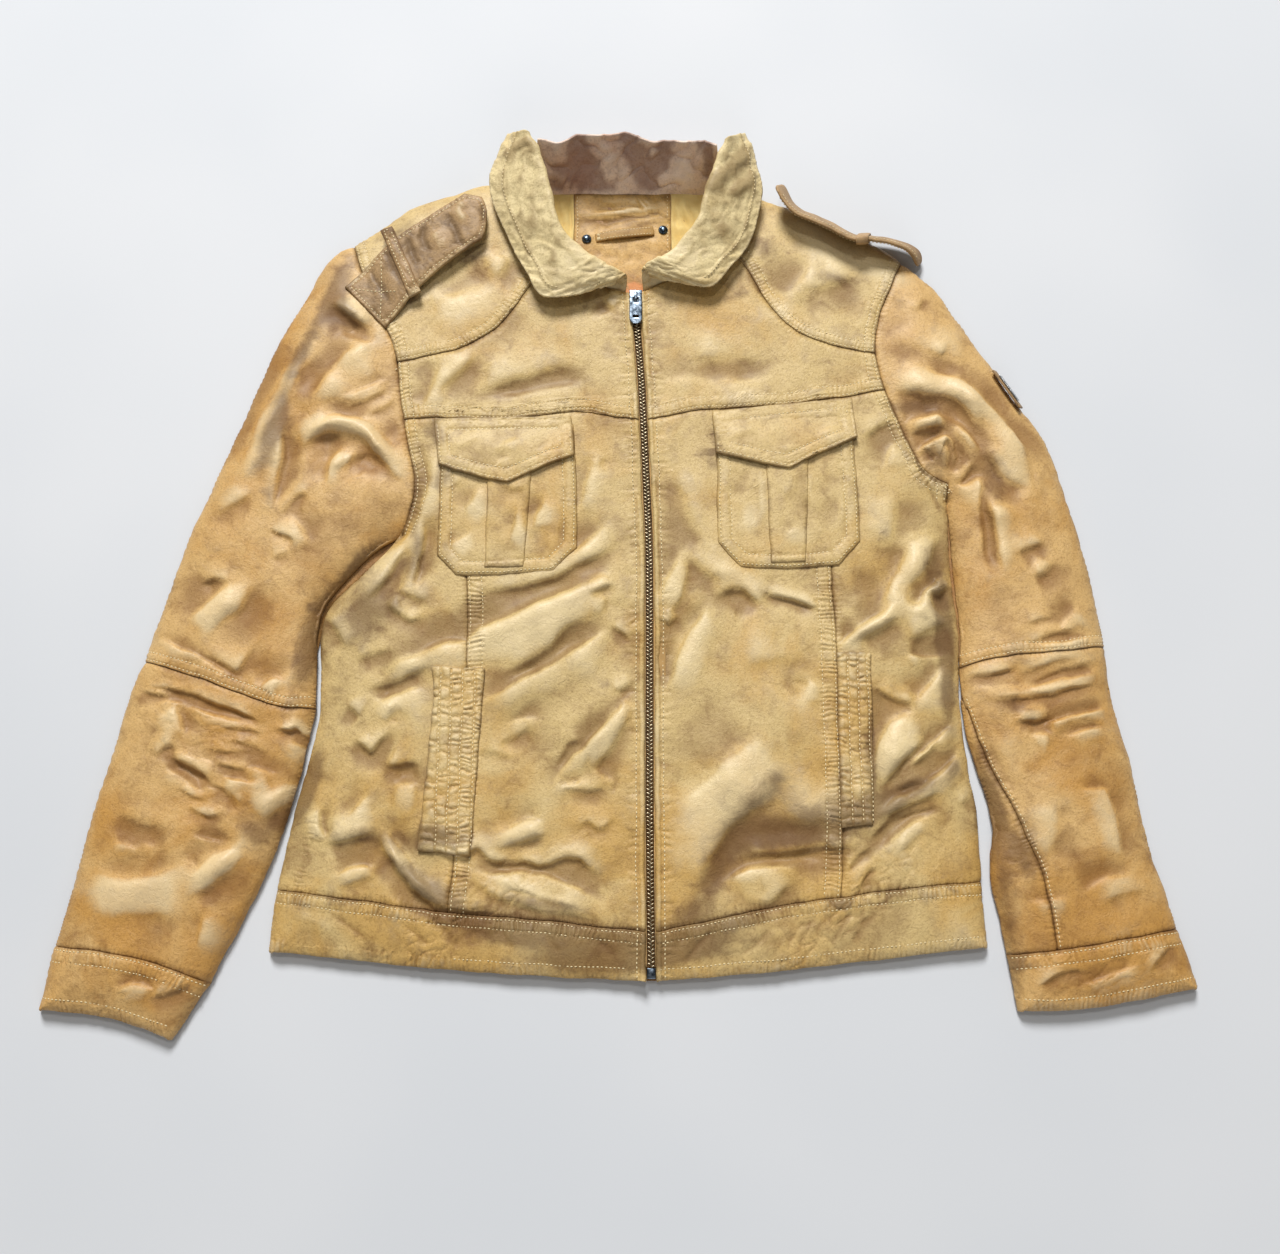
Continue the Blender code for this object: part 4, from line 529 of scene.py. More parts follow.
def read_outlines():
    """The outline of each upper piece, and which stretches of it are rims and mouths."""
    for name in sum(UPPER.values(), []) + APPLIED:
        read_outline(name)
    for group, names in UPPER.items():
        for name in names:
            others = [n for n in sum(UPPER.values(), []) if n != name]
            for start, end, sewn in stretches(name, others):
                if sewn:
                    continue
                x, y = ((start + end) / 2)[:2]
                if y > NECK_Y and NECK_X[0] < x < NECK_X[1] or abs(x - ZIP_X) < ZIP_NEAR:
                    continue  # the neck and the zip are no rims
                across = abs(end[0] - start[0]) > abs(end[1] - start[1])
                if across and ("hem_band" in name or "cuff" in name):
                    MOUTHS[group].append((start, end))
                else:
                    RIMS[group].append((start, end))


def edges_track(pairs):
    """Many short stretches as one thing to measure from."""
    points = []
    for start, end in pairs:
        length = float(np.linalg.norm(end[:2] - start[:2]))
        count = max(1, round(length))
        points += [start[:2] + (end[:2] - start[:2]) * k / count for k in range(count + 1)]
    return tree_of(points)


def away_from(tree, places):
    return np.array([tree.find((x, y, 0.0))[2] for x, y in places])


read_outlines()
RIM_TREES = {group: edges_track(pairs) for group, pairs in RIMS.items()}
MOUTH_TREES = {group: edges_track(pairs) for group, pairs in MOUTHS.items()}
ARMHOLES = {}


def drape(group, places):
    """The height of one garment part, as on its solid: a crown that comes down to the rims."""
    full = BODY_CROWN + FOLD_SHARE * fold_relief(places, FOLDS[group])
    if group != "body":
        rise = smooth_step(away_from(ARMHOLES[group], places) / ARMHOLE_REACH)
        full += (SLEEVE_CROWN - BODY_CROWN) * rise
    height = full
    for trees, top in ((RIM_TREES, RIM_TOP), (MOUTH_TREES, MOUTH_TOP)):
        share = np.clip(away_from(trees[group], places) / RIM_RADIUS, 0, 1)
        height = np.minimum(height, top + (full - top) * np.sqrt(1 - (1 - share) ** 2))
    return height


def find_armholes():
    """The line where each sleeve meets the body."""
    for group in ("sleeve_l", "sleeve_r"):
        found = stretches(UPPER[group][0], UPPER["body"])
        ARMHOLES[group] = edges_track([(start, end) for start, end, sewn in found if sewn])


find_armholes()

# ---------------------------------------------------------------- seams
# The pieces that lie over, the ones under them, how far in the stitch rows are, how much they pucker
SEAM_KINDS = [
    (["shoulder_yoke"], ["chest"], (2.2, 9.5), 0.55),
    (["chest"], ["centre_front", "side_front"], (2.2, 10.5), 0.6),
    (["centre_front"], ["side_front"], (2.2, 12.5), 0.95),
    (["hem_band_front"], ["centre_front", "side_front"], (2.0, 9.5), 1.3),
    (["shoulder_yoke", "chest", "side_front"], ["upper_sleeve"], (2.2, 9.0), 0.7),
    (["upper_sleeve"], ["forearm"], (2.2, 9.0), 0.6),
]
SEAMS = [
    (over + side, under + side, rows, amount)
    for overs, unders, rows, amount in SEAM_KINDS for side in ("_l", "_r") for over in overs for under in unders
]
SEAMS += [
    ("forearm_r", "forearm_inner_r", (2.2,), 0.9),
    ("cuff_front_l", "forearm_l", (2.2, 11.5), 0.9),
    ("cuff_front_r", "forearm_r", (2.2, 11.0), 0.9),
    ("cuff_front_r", "forearm_inner_r", (2.2, 11.0), 0.9),
]
GROUP = {name: group for group, names in UPPER.items() for name in names}


def longest_run(line, near):
    """The longest unbroken stretch of a closed line whose edges are marked."""
    best = []
    for first in range(len(near)):
        if near[first] and not near[first - 1]:
            run = [line[first]]
            k = first
            while near[k]:
                k = (k + 1) % len(line)
                run.append(line[k])
            if len(run) > len(best):
                best = run
    return best


def shared_edge(over, under):
    """The stretch of one piece's outline that lies against another, anticlockwise."""
    line = LINES[over]
    middles = (line[:, :2] + np.roll(line, -1, axis=0)[:, :2]) / 2
    run = longest_run(line, TRACKS[under].nearest(middles)[0] < SEAM_REACH)
    return Track(spline(run, 4 * len(run)))


def spline(points, count):
    """Count points spread evenly along the smooth curve through the given ones."""
    points = np.array(points, float)
    padded = np.concatenate([points[:1], points, points[-1:]])
    t = np.linspace(0, 1, 17)[:-1, None]
    run = []
    for a, b, c, d in zip(padded, padded[1:], padded[2:], padded[3:]):
        bend, twist = (2 * a - 5 * b + 4 * c - d) / 2, 3 * b - a - 3 * c + d
        run.append(b + t * ((c - a) / 2 + t * (bend + t * twist / 2)))
    line = np.concatenate([*run, points[-1:]])
    lengths = np.concatenate([[0], np.cumsum(np.linalg.norm(np.diff(line, axis=0), axis=1))])
    targets = np.linspace(0, lengths[-1], count)
    return np.stack([np.interp(targets, lengths, line[:, k]) for k in range(line.shape[1])], axis=1)


SEAM_LINES = [(over, under, shared_edge(over, under), rows, pucker) for over, under, rows, pucker in SEAMS]
ZIP_LINE = [(12, 250), (13, 222), (17, 170), (19, 130), (22, 60), (24, 0), (24, -216), (25, -342)]
ZIP_EDGES = {side: Track([(x + ZIP_OPENING * side, y) for x, y in ZIP_LINE]) for side in (-1, 1)}
ZIP_PARTS = ("chest", "centre_front", "hem_band_front")
SIDE_GATHERS = Track([(-245, -208), (-250, -232), (-256, -256), (-259, -278)])


def pucker(along, away, pitch, seed):
    """Small pillows between tight gathers that run across a seam, from about -1 to 0.4."""
    x, y = along, away * 0.5
    phase = along / pitch + 0.75 * lumps(x, y, 14, seed) + 0.16 * lumps(x, away, 5, seed + 1)
    phase += 0.05 * away * lumps(x, y * 0, 32, seed + 3)
    pillow = np.abs(np.cos(math.pi * phase)) ** 0.75 - 0.7
    return pillow * np.clip(0.7 + 0.8 * lumps(x, y * 0.2, 12, seed + 2), 0.12, 1.5) * 1.6


def seam_relief(name, places):
    """Raised bands, stitch grooves and puckers beside the seams of a piece."""
    total = np.zeros(len(places))
    for k, (over, under, line, rows, amount) in enumerate(SEAM_LINES):
        if name not in (over, under):
            continue
        away, along = line.nearest(places)
        wave = amount * pucker(along, away, GATHER, 60 + k)
        wave += 0.6 * amount * lumps(along, away * 0.3, 9.0, 90 + k)
        wave *= smooth_step(np.minimum(along, line.length - along) / 12)
        if name == over:
            last = rows[-1]
            band = SEAM_BAND * smooth_step((last + 3.0 - away) / 3.0)
            grooves = sum(bell(away - row, 0.9) for row in rows)
            total += band - SEAM_GROOVE * grooves - 0.9 * bell(away, 1.0)
            total += wave * smooth_step((last + 5.0 - away) / 6.0)
        else:
            total += -1.1 * bell(away, 2.5) + 0.7 * wave * bell(away, 6.0)
    return total


def edge_relief(name, places):
    """Rounded leather beside the zip, and the doubled hem and cuff edges."""
    total = np.zeros(len(places))
    if name[:-2] in ZIP_PARTS:
        side = -1 if name[-1] == "l" else 1
        away, along = ZIP_EDGES[side].nearest(places)
        total += 0.9 * bell(away - 1.8, 2.0) - 0.9 * bell(away - 4.2, 0.9)
        total += 0.7 * pucker(along, away, 8.5, 131) * bell(away - 8, 6.0)
    group = GROUP[name]
    if "hem_band" in name or "cuff" in name:
        away = away_from(MOUTH_TREES[group], places)
        total += 0.5 * smooth_step((11.5 - away) / 2.5) - 0.5 * bell(away - 9.0, 0.9)
        along = places[:, 0]
        total += 0.85 * pucker(along, away, GATHER, 133) * smooth_step((12 - away) / 3)
    if name == "side_front_l":
        away, along = SIDE_GATHERS.nearest(places)
        ends = smooth_step(np.minimum(along, SIDE_GATHERS.length - along) / 12)
        total += 0.8 * pucker(along, away, 4.4, 135) * bell(away, 7) * ends
    return total


def base_height(group, places):
    """The drape of a garment part with its creases and wrinkles, without the seams."""
    calm = smooth_step(away_from(RIM_TREES[group], places) / CALM_REACH)
    fine = SLOPE_GAIN * slope_relief(places, SLOPES[group]) + fold_relief(places, CREASES[group])
    fine = fine + wrinkle_relief(places)
    return drape(group, places) + fine * (0.25 + 0.75 * calm), fine


def height_of(name, places):
    """The whole height of an upper piece, and how high or low it lies in its surroundings."""
    base, fine = base_height(GROUP[name], places)
    near = seam_relief(name, places) + edge_relief(name, places)
    return base + near, fine + 0.8 * near


def drift(places):
    """The small unevenness of every line in the plan."""
    x, y = places[:, 0], places[:, 1]
    return np.stack([
        0.7 * lumps(x, y, 24, 71) + 0.3 * lumps(x, y, 9, 72),
        0.7 * lumps(x, y, 26, 73) + 0.3 * lumps(x, y, 9, 74),
    ], axis=1)


# ---------------------------------------------------------------- materials
def linear(colour):
    """An sRGB hex colour as linear RGBA."""
    levels = [int(colour[k : k + 2], 16) / 255 for k in (1, 3, 5)]
    return (*[v / 12.92 if v <= 0.04045 else ((v + 0.055) / 1.055) ** 2.4 for v in levels], 1.0)


class Shader:
    """A Principled material whose nodes are added one line each."""

    def __init__(self, name):
        self.material = bpy.data.materials.new(name)
        self.material.use_nodes = True
        self.tree = self.material.node_tree
        self.surface = self.tree.nodes["Principled BSDF"]

    def add(self, kind, out=0, settings=None, **inputs):
        """A node with its settings and its inputs, by name or as i0, i1 and so on; gives an output."""
        node = self.tree.nodes.new("ShaderNode" + kind)
        for name, value in (settings or {}).items():
            setattr(node, name, value)
        for name, value in inputs.items():
            self.feed(node, int(name[1:]) if name[1:].isdigit() else name.replace("_", " "), value)
        return node.outputs[out]

    def feed(self, node, key, value):
        socket = node.inputs[key]
        if isinstance(value, bpy.types.NodeSocket):
            self.tree.links.new(value, socket)
        elif isinstance(value, str):
            socket.default_value = linear(value)
        else:
            socket.default_value = value

    def set(self, **inputs):
        for name, value in inputs.items():
            self.feed(self.surface, name.replace("_", " "), value)

    def math(self, operation, a, b=0.0, clamp=False):
        return self.add("Math", settings={"operation": operation, "use_clamp": clamp}, i0=a, i1=b)

    def spread(self, value, amount):
        """A noise value from 0 to 1, centred on nothing and made this wide."""
        return self.math("MULTIPLY", self.math("SUBTRACT", value, 0.5), amount)

    def mix(self, factor, a, b):
        return self.add("Mix", 2, {"data_type": "RGBA"}, i0=factor, i6=a, i7=b)

    def tint(self, factor, amount, a, b):
        """Colour a, changed to b by a share of a factor."""
        return self.mix(self.math("MULTIPLY", factor, amount), a, b)

    def ramp(self, value, low, high):
        """0 below low and 1 above high."""
        return self.add(
            "MapRange", settings={"interpolation_type": "SMOOTHSTEP"},
            Value=value, From_Min=low, From_Max=high,
        )

    def place(self):
        return self.add("TexCoord", 3)

    def noise(self, size, detail=3.0, roughness=0.55, distortion=0.0, vector=None):
        """Soft noise with lumps of a size in millimetres."""
        return self.add(
            "TexNoise", Vector=vector or self.place(), Scale=1 / (size * MM), Detail=detail,
            Roughness=roughness, Distortion=distortion,
        )

    def bump(self, height, distance, strength=1.0, normal=None):
        inputs = {"Height": height, "Distance": distance * MM, "Strength": strength}
        if normal:
            inputs["Normal"] = normal
        return self.add("Bump", **inputs)

    def attribute(self, name):
        return self.add("Attribute", 2, {"attribute_name": name})


def leather(name, pale, tan, dark, rough=0.5, crackle=0.15, worn="#ECD9AE", fresh="#CF8A50"):
    """Vegetable-tanned hide, waxed and worn: a warm mottled ground, painted paler on the ridges (painted
    highlight, some of it wear) and smoother there, darker in the creases (painted shade, some of it grime),
    darker again by the grime-and-shade layer, with a fine grain and dry crackle."""
    made = Shader(name)
    tone, warm, grime_and_shade = made.attribute("tone"), made.attribute("warm"), made.attribute("grime_and_shade")
    clouds = made.noise(70, 4, 0.6, 0.6)
    blots = made.noise(19, 5, 0.65, 0.5)
    specks = made.noise(1.9, 4, 0.7)
    warmth = made.math("ADD", warm, made.spread(clouds, 2.2))
    colour = made.mix(made.ramp(warmth, 0.1, 0.9), pale, tan)
    colour = made.tint(made.ramp(blots, 0.45, 0.72), 0.4, colour, dark)
    colour = made.tint(made.ramp(specks, 0.46, 0.7), 0.36, colour, dark)
    # paler on the ridges and in the tabled pale places: painted highlight, with some wear; the worn colour is
    # the painted highlight colour too
    ridge = made.ramp(made.math("ADD", tone, made.spread(blots, 1.6)), 0.2, 2.2)
    colour = made.tint(ridge, 0.55, colour, worn)
    # darker in the hollows of the relief: painted shade, with some grime from the blots
    crease_shade_and_grime = made.ramp(made.math("SUBTRACT", made.math("MULTIPLY", blots, 0.8), tone), 0.3, 2.0)
    colour = made.tint(crease_shade_and_grime, 0.6, colour, dark)
    # darker by the grime-and-shade layer: grime, and painted shade and shadow, in the brown below
    grime_shade_mix = made.ramp(made.math("ADD", grime_and_shade, made.spread(blots, 1.3)), 0.25, 1.1)
    colour = made.tint(grime_shade_mix, 0.66, colour, "#5C3D1F")
    colour = made.mix(made.ramp(warm, 1.4, 2.2), colour, fresh)
    place = made.place()
    waver = made.add("TexNoise", 1, Vector=place, Scale=160.0)
    waver = made.add("VectorMath", settings={"operation": "SCALE"}, i0=waver, Scale=0.004)
    bent = made.add("VectorMath", settings={"operation": "ADD"}, i0=place, i1=waver)
    edges = {"feature": "DISTANCE_TO_EDGE"}
    cells = made.add("TexVoronoi", settings=edges, Vector=bent, Scale=1 / (6.5 * MM), Randomness=1.0)
    cracks = made.ramp(cells, 0.0, 0.08)
    grain = made.add("TexVoronoi", settings={"feature": "SMOOTH_F1"}, Vector=bent, Scale=1 / (1.25 * MM))
    normal = made.bump(made.noise(8, 5, 0.7, 1.2), 0.8, 1.1)
    normal = made.bump(specks, 0.3, 0.6, normal)
    normal = made.bump(cracks, 0.3 * crackle, 0.6, normal)
    normal = made.bump(grain, 0.18, 0.5, normal)
    gloss = made.math("ADD", rough, made.spread(specks, 0.2))
    gloss = made.math("SUBTRACT", gloss, made.math("MULTIPLY", ridge, 0.08))
    gloss = made.math("ADD", gloss, made.math("MULTIPLY", made.math("ADD", crease_shade_and_grime, grime_shade_mix), 0.12), clamp=True)
    made.set(Base_Color=colour, Roughness=gloss, Normal=normal, IOR=1.5)
    made.set(Specular_IOR_Level=0.36, Coat_Weight=0.12, Coat_Roughness=0.34)
    return made.material


BODY_SKIN = leather("leather_body_honey", "#CDB279", "#C59F5B", "#6F481D")
SLEEVE_SKIN = leather("leather_sleeve_tan", "#D0AA6E", "#BE8E49", "#74491C")
BACK_SKIN = leather("leather_back_tan", "#B98A4E", "#A97538", "#6A4826", rough=0.5)
STRAP_SKIN = leather("leather_strap_olive", "#AF8E62", "#927046", "#4A331C", rough=0.55, worn="#DCC592")
COLLAR_SKIN = leather("leather_collar_honey", "#E3CF9C", "#D2B67C", "#7D6034", rough=0.55)
# The inside of the collar back faces away from the key: its pale ground is lighter than the leather itself,
# painted light for the shade it lies in
DARK_SKIN = leather("leather_collar_inside_dark", "#EBD5C2", "#D2AD95", "#7A5244", rough=0.55, worn="#F2E2D2")
FACING_SKIN = leather("leather_neck_facing", "#C9A25E", "#AE8344", "#684420", rough=0.55)


# ---------------------------------------------------------------- sheets cut from the solids
def subdivide(bm, edges):
    bmesh.ops.subdivide_edges(bm, edges=edges, cuts=1, use_grid_fill=True)
    bmesh.ops.triangulate(bm, faces=[f for f in bm.faces if len(f.verts) > 3])


def plan_places(bm):
    return np.array([v.co[:2] for v in bm.verts], float).reshape(-1, 2)


def fine_sheet(name, height):
    """The plan of a node as a close mesh: closest near its outline and where it bends most."""
    bm = plan_of(name)
    for vert in bm.verts:
        vert.co.z = 0.0
    corners = {v for v in bm.verts if v.is_boundary and turn_at(v) > CORNER}
    marks = [v.co.xy[:] for v in corners]
    for longest in COARSE_EDGES:
        subdivide(bm, [e for e in bm.edges if e.calc_length() > longest])
    edge_verts = [v for v in bm.verts if v.is_boundary]
    kept = tree_of(marks)
    loose = [v for v in edge_verts if not marks or kept.find(v.co)[2] > 0.5]
    smooth_along(loose, 14)
    inner = [v for v in bm.verts if not v.is_boundary]
    for _ in range(6):
        bmesh.ops.smooth_vert(bm, verts=inner, factor=0.5, use_axis_x=True, use_axis_y=True)
    gathered = [line.tree for over, under, line, _, _ in SEAM_LINES if name in (over, under)]
    subdivide(bm, [e for e in bm.edges if e.calc_length() > GATHERED_EDGE and in_gathers(e, gathered)])
    for shortest in BENT_EDGES:
        places = plan_places(bm)
        tops = height(places)
        bm.verts.index_update()
        ends = np.array([[v.index for v in e.verts] for e in bm.edges])
        lengths = np.linalg.norm(places[ends[:, 0]] - places[ends[:, 1]], axis=1)
        middle = height((places[ends[:, 0]] + places[ends[:, 1]]) / 2)
        off = np.abs(middle - (tops[ends[:, 0]] + tops[ends[:, 1]]) / 2)
        chosen = [e for e, o, long in zip(bm.edges[:], off, lengths) if o > BEND and long > shortest]
        subdivide(bm, chosen)
    return bm


def in_gathers(edge, trees):
    middle = (edge.verts[0].co + edge.verts[1].co) / 2
    return any(tree.find((middle.x, middle.y, 0.0))[2] < FINE_REACH for tree in trees)


def turn_at(vert):
    """How much the outline turns at one of its points."""
    a, b = [e.other_vert(vert).co - vert.co for e in vert.link_edges if e.is_boundary][:2]
    return math.pi - a.angle(b)


def smooth_along(verts, rounds):
    """Evens out an outline between its corners."""
    beside = {v: [e.other_vert(v) for e in v.link_edges if e.is_boundary] for v in verts}
    for _ in range(rounds):
        moved = {v: (v.co * 2 + a.co + b.co) / 4 for v, (a, b) in beside.items()}
        for vert, place in moved.items():
            vert.co = place


def set_layers(bm, tone, warm, grime_and_shade):
    for name, values in (("tone", tone), ("warm", warm), ("grime_and_shade", grime_and_shade)):
        layer = bm.verts.layers.float.get(name) or bm.verts.layers.float.new(name)
        for vert, value in zip(bm.verts, values):
            vert[layer] = float(value)


def warmth_and_darkening(places):
    """Where the hide is warmer, and where it is darker: grime, and painted shade and shadow, from the tabled
    places.
    """
    x, y = places[:, 0], places[:, 1]
    warm = 0.25 + 0.4 * lumps(x, y, 90, 151) + 0.3 * smooth_step((-y - 60) / 220)
    warm += 3.0 * bell(x - 11, 11) * bell(y - 258, 10) * smooth_step((y - 247) / 3)  # above the slider
    return warm, patches(places, GRIME_AND_SHADE)


def painted_light_and_wear_tone(tone, places):
    """How pale or dark the hide is painted: by its relief, paler on ridges and darker in hollows (painted light
    and shade), and paler in the tabled places (mostly painted highlight, some wear).
    """
    return 2 * np.tanh(tone / 2) + patches(places, HIGHLIGHTS_AND_WEAR)


def seam_grime_and_shadow(name, places):
    """Darker along the seams of a piece and round the patches on it: grime and dark joints, and painted shadow
    where a piece above meets the one below.
    """
    total = np.zeros(len(places))
    for over, under, line, rows, _ in SEAM_LINES:
        if name in (over, under):
            away = line.nearest(places)[0]
            # a dark joint on the piece above; on the piece below, painted shadow of the step
            total += 0.7 * bell(away, 1.0 if name == over else 2.0)
            if name == over:
                total += (0.5 if "hem_band" in name else 0.22) * smooth_step((rows[-1] + 3 - away) / 4)
    if GROUP[name] == "body":
        for patch in APPLIED:
            # painted shadow round each patch that lies on the panel
            total += 0.75 * bell(TRACKS[patch].nearest(places)[0], 1.8)
    return np.clip(total, 0, 1)


# Darker places, partly grime and partly painted shade and shadow (under the collar leaves and straps, in the
# underarm gaps, on folds turned from the light): x, y, reach along and across, turn, how dark
GRIME_AND_SHADE = [
    (92, -232, 58, 13, 57, 0.5), (130, -214, 50, 20, 8, 0.75), (196, -208, 30, 14, 12, 0.7),
    (232, -196, 30, 8, 22, 0.6), (74, -262, 26, 12, 45, 0.6), (-220, -230, 24, 8, 6, 0.5),
    (-190, -230, 24, 8, -15, 0.6), (-148, -228, 19, 9, 0, 1.2), (148, -226, 46, 10, 4, 1),
    (206, -165, 7, 30, 0, 0.8), (236, -190, 36, 7, 26, 0.9), (-232, -165, 8, 56, 0, 0.5),
    (-182, -4, 8, 10, 0, 0.8), (-168, -262, 34, 6, -40, 0.8), (-58, -282, 40, 5, -9, 0.9),
    (-80, -307, 36, 7, -4, 1.1), (52, -312, 48, 12, 8, 0.9), (-30, -326, 40, 10, 0, 0.6),
    (302, -195, 8, 24, 8, 0.9), (318, -236, 7, 26, 20, 0.8), (-255, -182, 7, 32, -12, 0.8),
    (-300, -224, 14, 7, -48, 0.6), (-262, 236, 9, 30, -22, 0.7), (-282, 190, 7, 26, -22, 0.7),
    (-303, 120, 9, 26, -14, 0.5), (-297, 60, 9, 12, 0, 0.7), (-157, 75, 12, 9, 0, 0.7),
    (-165, 125, 7, 10, 0, 0.7), (36, -45, 8, 8, 0, 0.6), (126, -182, 10, 9, 0, 0.7),
    (-150, -266, 30, 9, -40, 0.8), (262, -58, 22, 20, 0, 0.35), (272, -58, 7, 52, 0, 1.3),
    (271, -140, 7, 60, 0, 0.7), (263, -4, 9, 22, 0, 1), (222, 30, 18, 20, 0, 0.45), (258, 141, 26, 7, 0, 1.2),
    (271, 94, 13, 15, 0, 0.9), (240, 104, 14, 9, 20, 0.5), (318, 74, 8, 24, 6, 0.75),
    (326, 82, 12, 24, 10, 0.3), (-240, 112, 36, 7, -8, 0.35), (-196, 96, 8, 34, 35, 0.3),
    (-173, 22, 8, 42, 6, 0.75), (-216, -42, 20, 36, -15, 1.2), (-188, -36, 13, 10, 0, 0.6),
    (-230, -8, 37, 6, 52, 1.1), (-262, -78, 10, 34, -8, 1.2), (-268, -20, 14, 50, 20, 0.3),
    (-252, -188, 9, 34, -14, 0.8), (-272, -208, 20, 9, 50, 0.8), (-286, -226, 18, 11, 30, 0.6),
    (-378, -140, 11, 18, 20, 0.45), (-346, -148, 20, 8, -30, 0.4), (-328, -168, 30, 6, -22, 0.35),
    (-328, -212, 28, 7, -6, 0.35), (-300, -206, 12, 10, 0, 0.35), (-300, 116, 10, 60, -14, 0.8),
    (-238, 222, 20, 8, -40, 0.9), (-252, 250, 11, 34, -8, 1), (-206, 312, 24, 8, 30, 0.8),
    (-130, 286, 11, 15, 0, 0.8), (130, 292, 14, 13, 0, 0.85), (186, 264, 38, 8, -6, 0.7),
    (246, 240, 15, 13, -30, 0.6), (100, 246, 22, 7, 10, 0.8), (45, 246, 26, 5, -8, 0.5),
    (-45, 234, 28, 7, 8, 0.5), (-155, 112, 15, 9, 0, 0.5), (76, 102, 11, 12, 0, 0.5), (70, 181, 24, 8, -5, 0.4),
    (-45, 184, 16, 7, 0, 0.4), (-10, -105, 11, 10, 0, 0.6), (-80, -296, 64, 11, -9, 0.85),
    (4, -322, 70, 12, 3, 1.1), (62, -292, 38, 11, 12, 0.65), (-200, -318, 60, 14, -4, 0.3),
    (190, -306, 60, 10, 6, 0.25), (352, -190, 18, 70, 12, 0.4), (298, -212, 9, 38, 8, 0.9),
    (330, -236, 10, 28, 8, 0.75), (312, -296, 8, 58, 6, 0.9), (316, -120, 22, 10, -14, 0.8),
    (-264, 148, 30, 9, 40, 0.3),
]
# Paler places: mostly painted highlights where the leather shines, and painted light where the straps and
# collar cast shade, some wear: x, y, reach along and across, turn, how pale
HIGHLIGHTS_AND_WEAR = [
    (58, -182, 14, 16, 0, 1.6), (96, -140, 56, 44, 30, 0.7), (55, -62, 9, 24, -28, 1.8),
    (152, -112, 8, 14, 0, 1.6), (102, -258, 16, 6, 20, 1.4), (-130, -249, 20, 7, 0, 1.6),
    (-90, -215, 34, 10, 25, 0.9), (-80, -60, 40, 10, 28, 0.8), (-124, 44, 7, 9, 20, 1.6),
    (-134, 14, 6, 9, -20, 1.6), (-86, 22, 7, 10, 30, 1.6), (-66, 40, 7, 6, 0, 1.6), (110, 40, 9, 14, -20, 1.5),
    (150, 20, 12, 8, 10, 1.2), (-150, 236, 22, 14, 25, 0.9), (-166, 258, 56, 8, 42, 1.8),
    (-236, 268, 12, 28, -35, 1.2), (190, 296, 56, 13, -28, 2.6), (142, 234, 18, 12, 0, 1.2),
    (225, -14, 13, 21, 0, 1.2), (222, -148, 10, 22, -24, 1.4), (268, -242, 13, 38, 0, 0.8),
    (346, -168, 18, 30, 10, 0.7), (-392, -276, 40, 26, -12, 0.8), (-320, -243, 22, 9, 25, 1.4),
    (-300, -284, 16, 26, 0, 0.4), (-345, -44, 14, 20, -30, 0.9), (-290, -100, 18, 8, 0, 1.2),
    (-250, 92, 26, 20, 0, 0.8), (2, 344, 50, 8, 0, 1.4),
]


def patches(places, table):
    """How much of each place lies in the soft-edged oval patches of a table."""
    total = np.zeros(len(places))
    for px, py, along, across, turn, amount in table:
        lean = math.radians(turn)
        dx, dy = places[:, 0] - px, places[:, 1] - py
        u = (dx * math.cos(lean) + dy * math.sin(lean)) / along
        v = (dy * math.cos(lean) - dx * math.sin(lean)) / across
        total += amount * np.exp(-0.8 * (u * u + v * v))
    return total


def roll_edges(bm, verts_out, steps):
    """Turns an edge over: its outline is extruded outwards and down in steps."""
    edges = [e for e in bm.edges if e.is_boundary]
    for out, down in steps:
        grown = bmesh.ops.extrude_edge_only(bm, edges=edges)["geom"]
        edges = [item for item in grown if isinstance(item, bmesh.types.BMEdge)]
        for vert in {v for e in edges for v in e.verts}:
            outward = verts_out(vert)
            vert.co += Vector((outward[0] * out, outward[1] * out, down))
        edges = [e for e in edges if e.is_boundary]
    return bm


def outward_layer(bm):
    """Stores at each outline point which way is out."""
    layer = bm.verts.layers.float_vector.new("outward")
    for vert in bm.verts:
        if vert.is_boundary:
            total = Vector((0, 0, 0))
            for edge in vert.link_edges:
                if edge.is_boundary:
                    face = edge.link_faces[0]
                    run = edge.verts[1].co - edge.verts[0].co
                    side = Vector((run.y, -run.x, 0)).normalized()
                    middle = face.calc_center_median() - edge.verts[0].co
                    total += side if side.dot(middle) < 0 else -side
            vert[layer] = total.normalized()
    return layer


def into_scene(name, data):
    made = bpy.data.objects.new(name, data)
    bpy.context.scene.collection.objects.link(made)
    return made


def place_mesh(name, bm, material):
    """The bmesh, in the tables' millimetres, as an object in metres."""
    bmesh.ops.translate(bm, vec=CENTRE, verts=bm.verts[:])
    bmesh.ops.scale(bm, vec=(MM, MM, MM), verts=bm.verts[:])
    mesh = bpy.data.meshes.new(name)
    bm.to_mesh(mesh)
    bm.free()
    mesh.materials.append(material)
    mesh.shade_smooth()
    return into_scene(name, mesh)


def make_object(name, bm, material, node, wall=SHELL, body="jacket"):
    """The bmesh as a piece that stands for its node, with a wall unless it is solid."""
    made = place_mesh(name, bm, material)
    if wall:
        shell = made.modifiers.new("Wall", "SOLIDIFY")
        shell.thickness = wall * MM
        shell.offset = -1.0
    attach(made, body)
    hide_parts(node)
    return made


def lay_sheet(made, area, box):
    long, wide = max(box), min(box)


def plan_area(face):
    a, b, c = [v.co for v in face.verts][:3]
    return 0.5 * abs((b - a).cross(c - a).z)


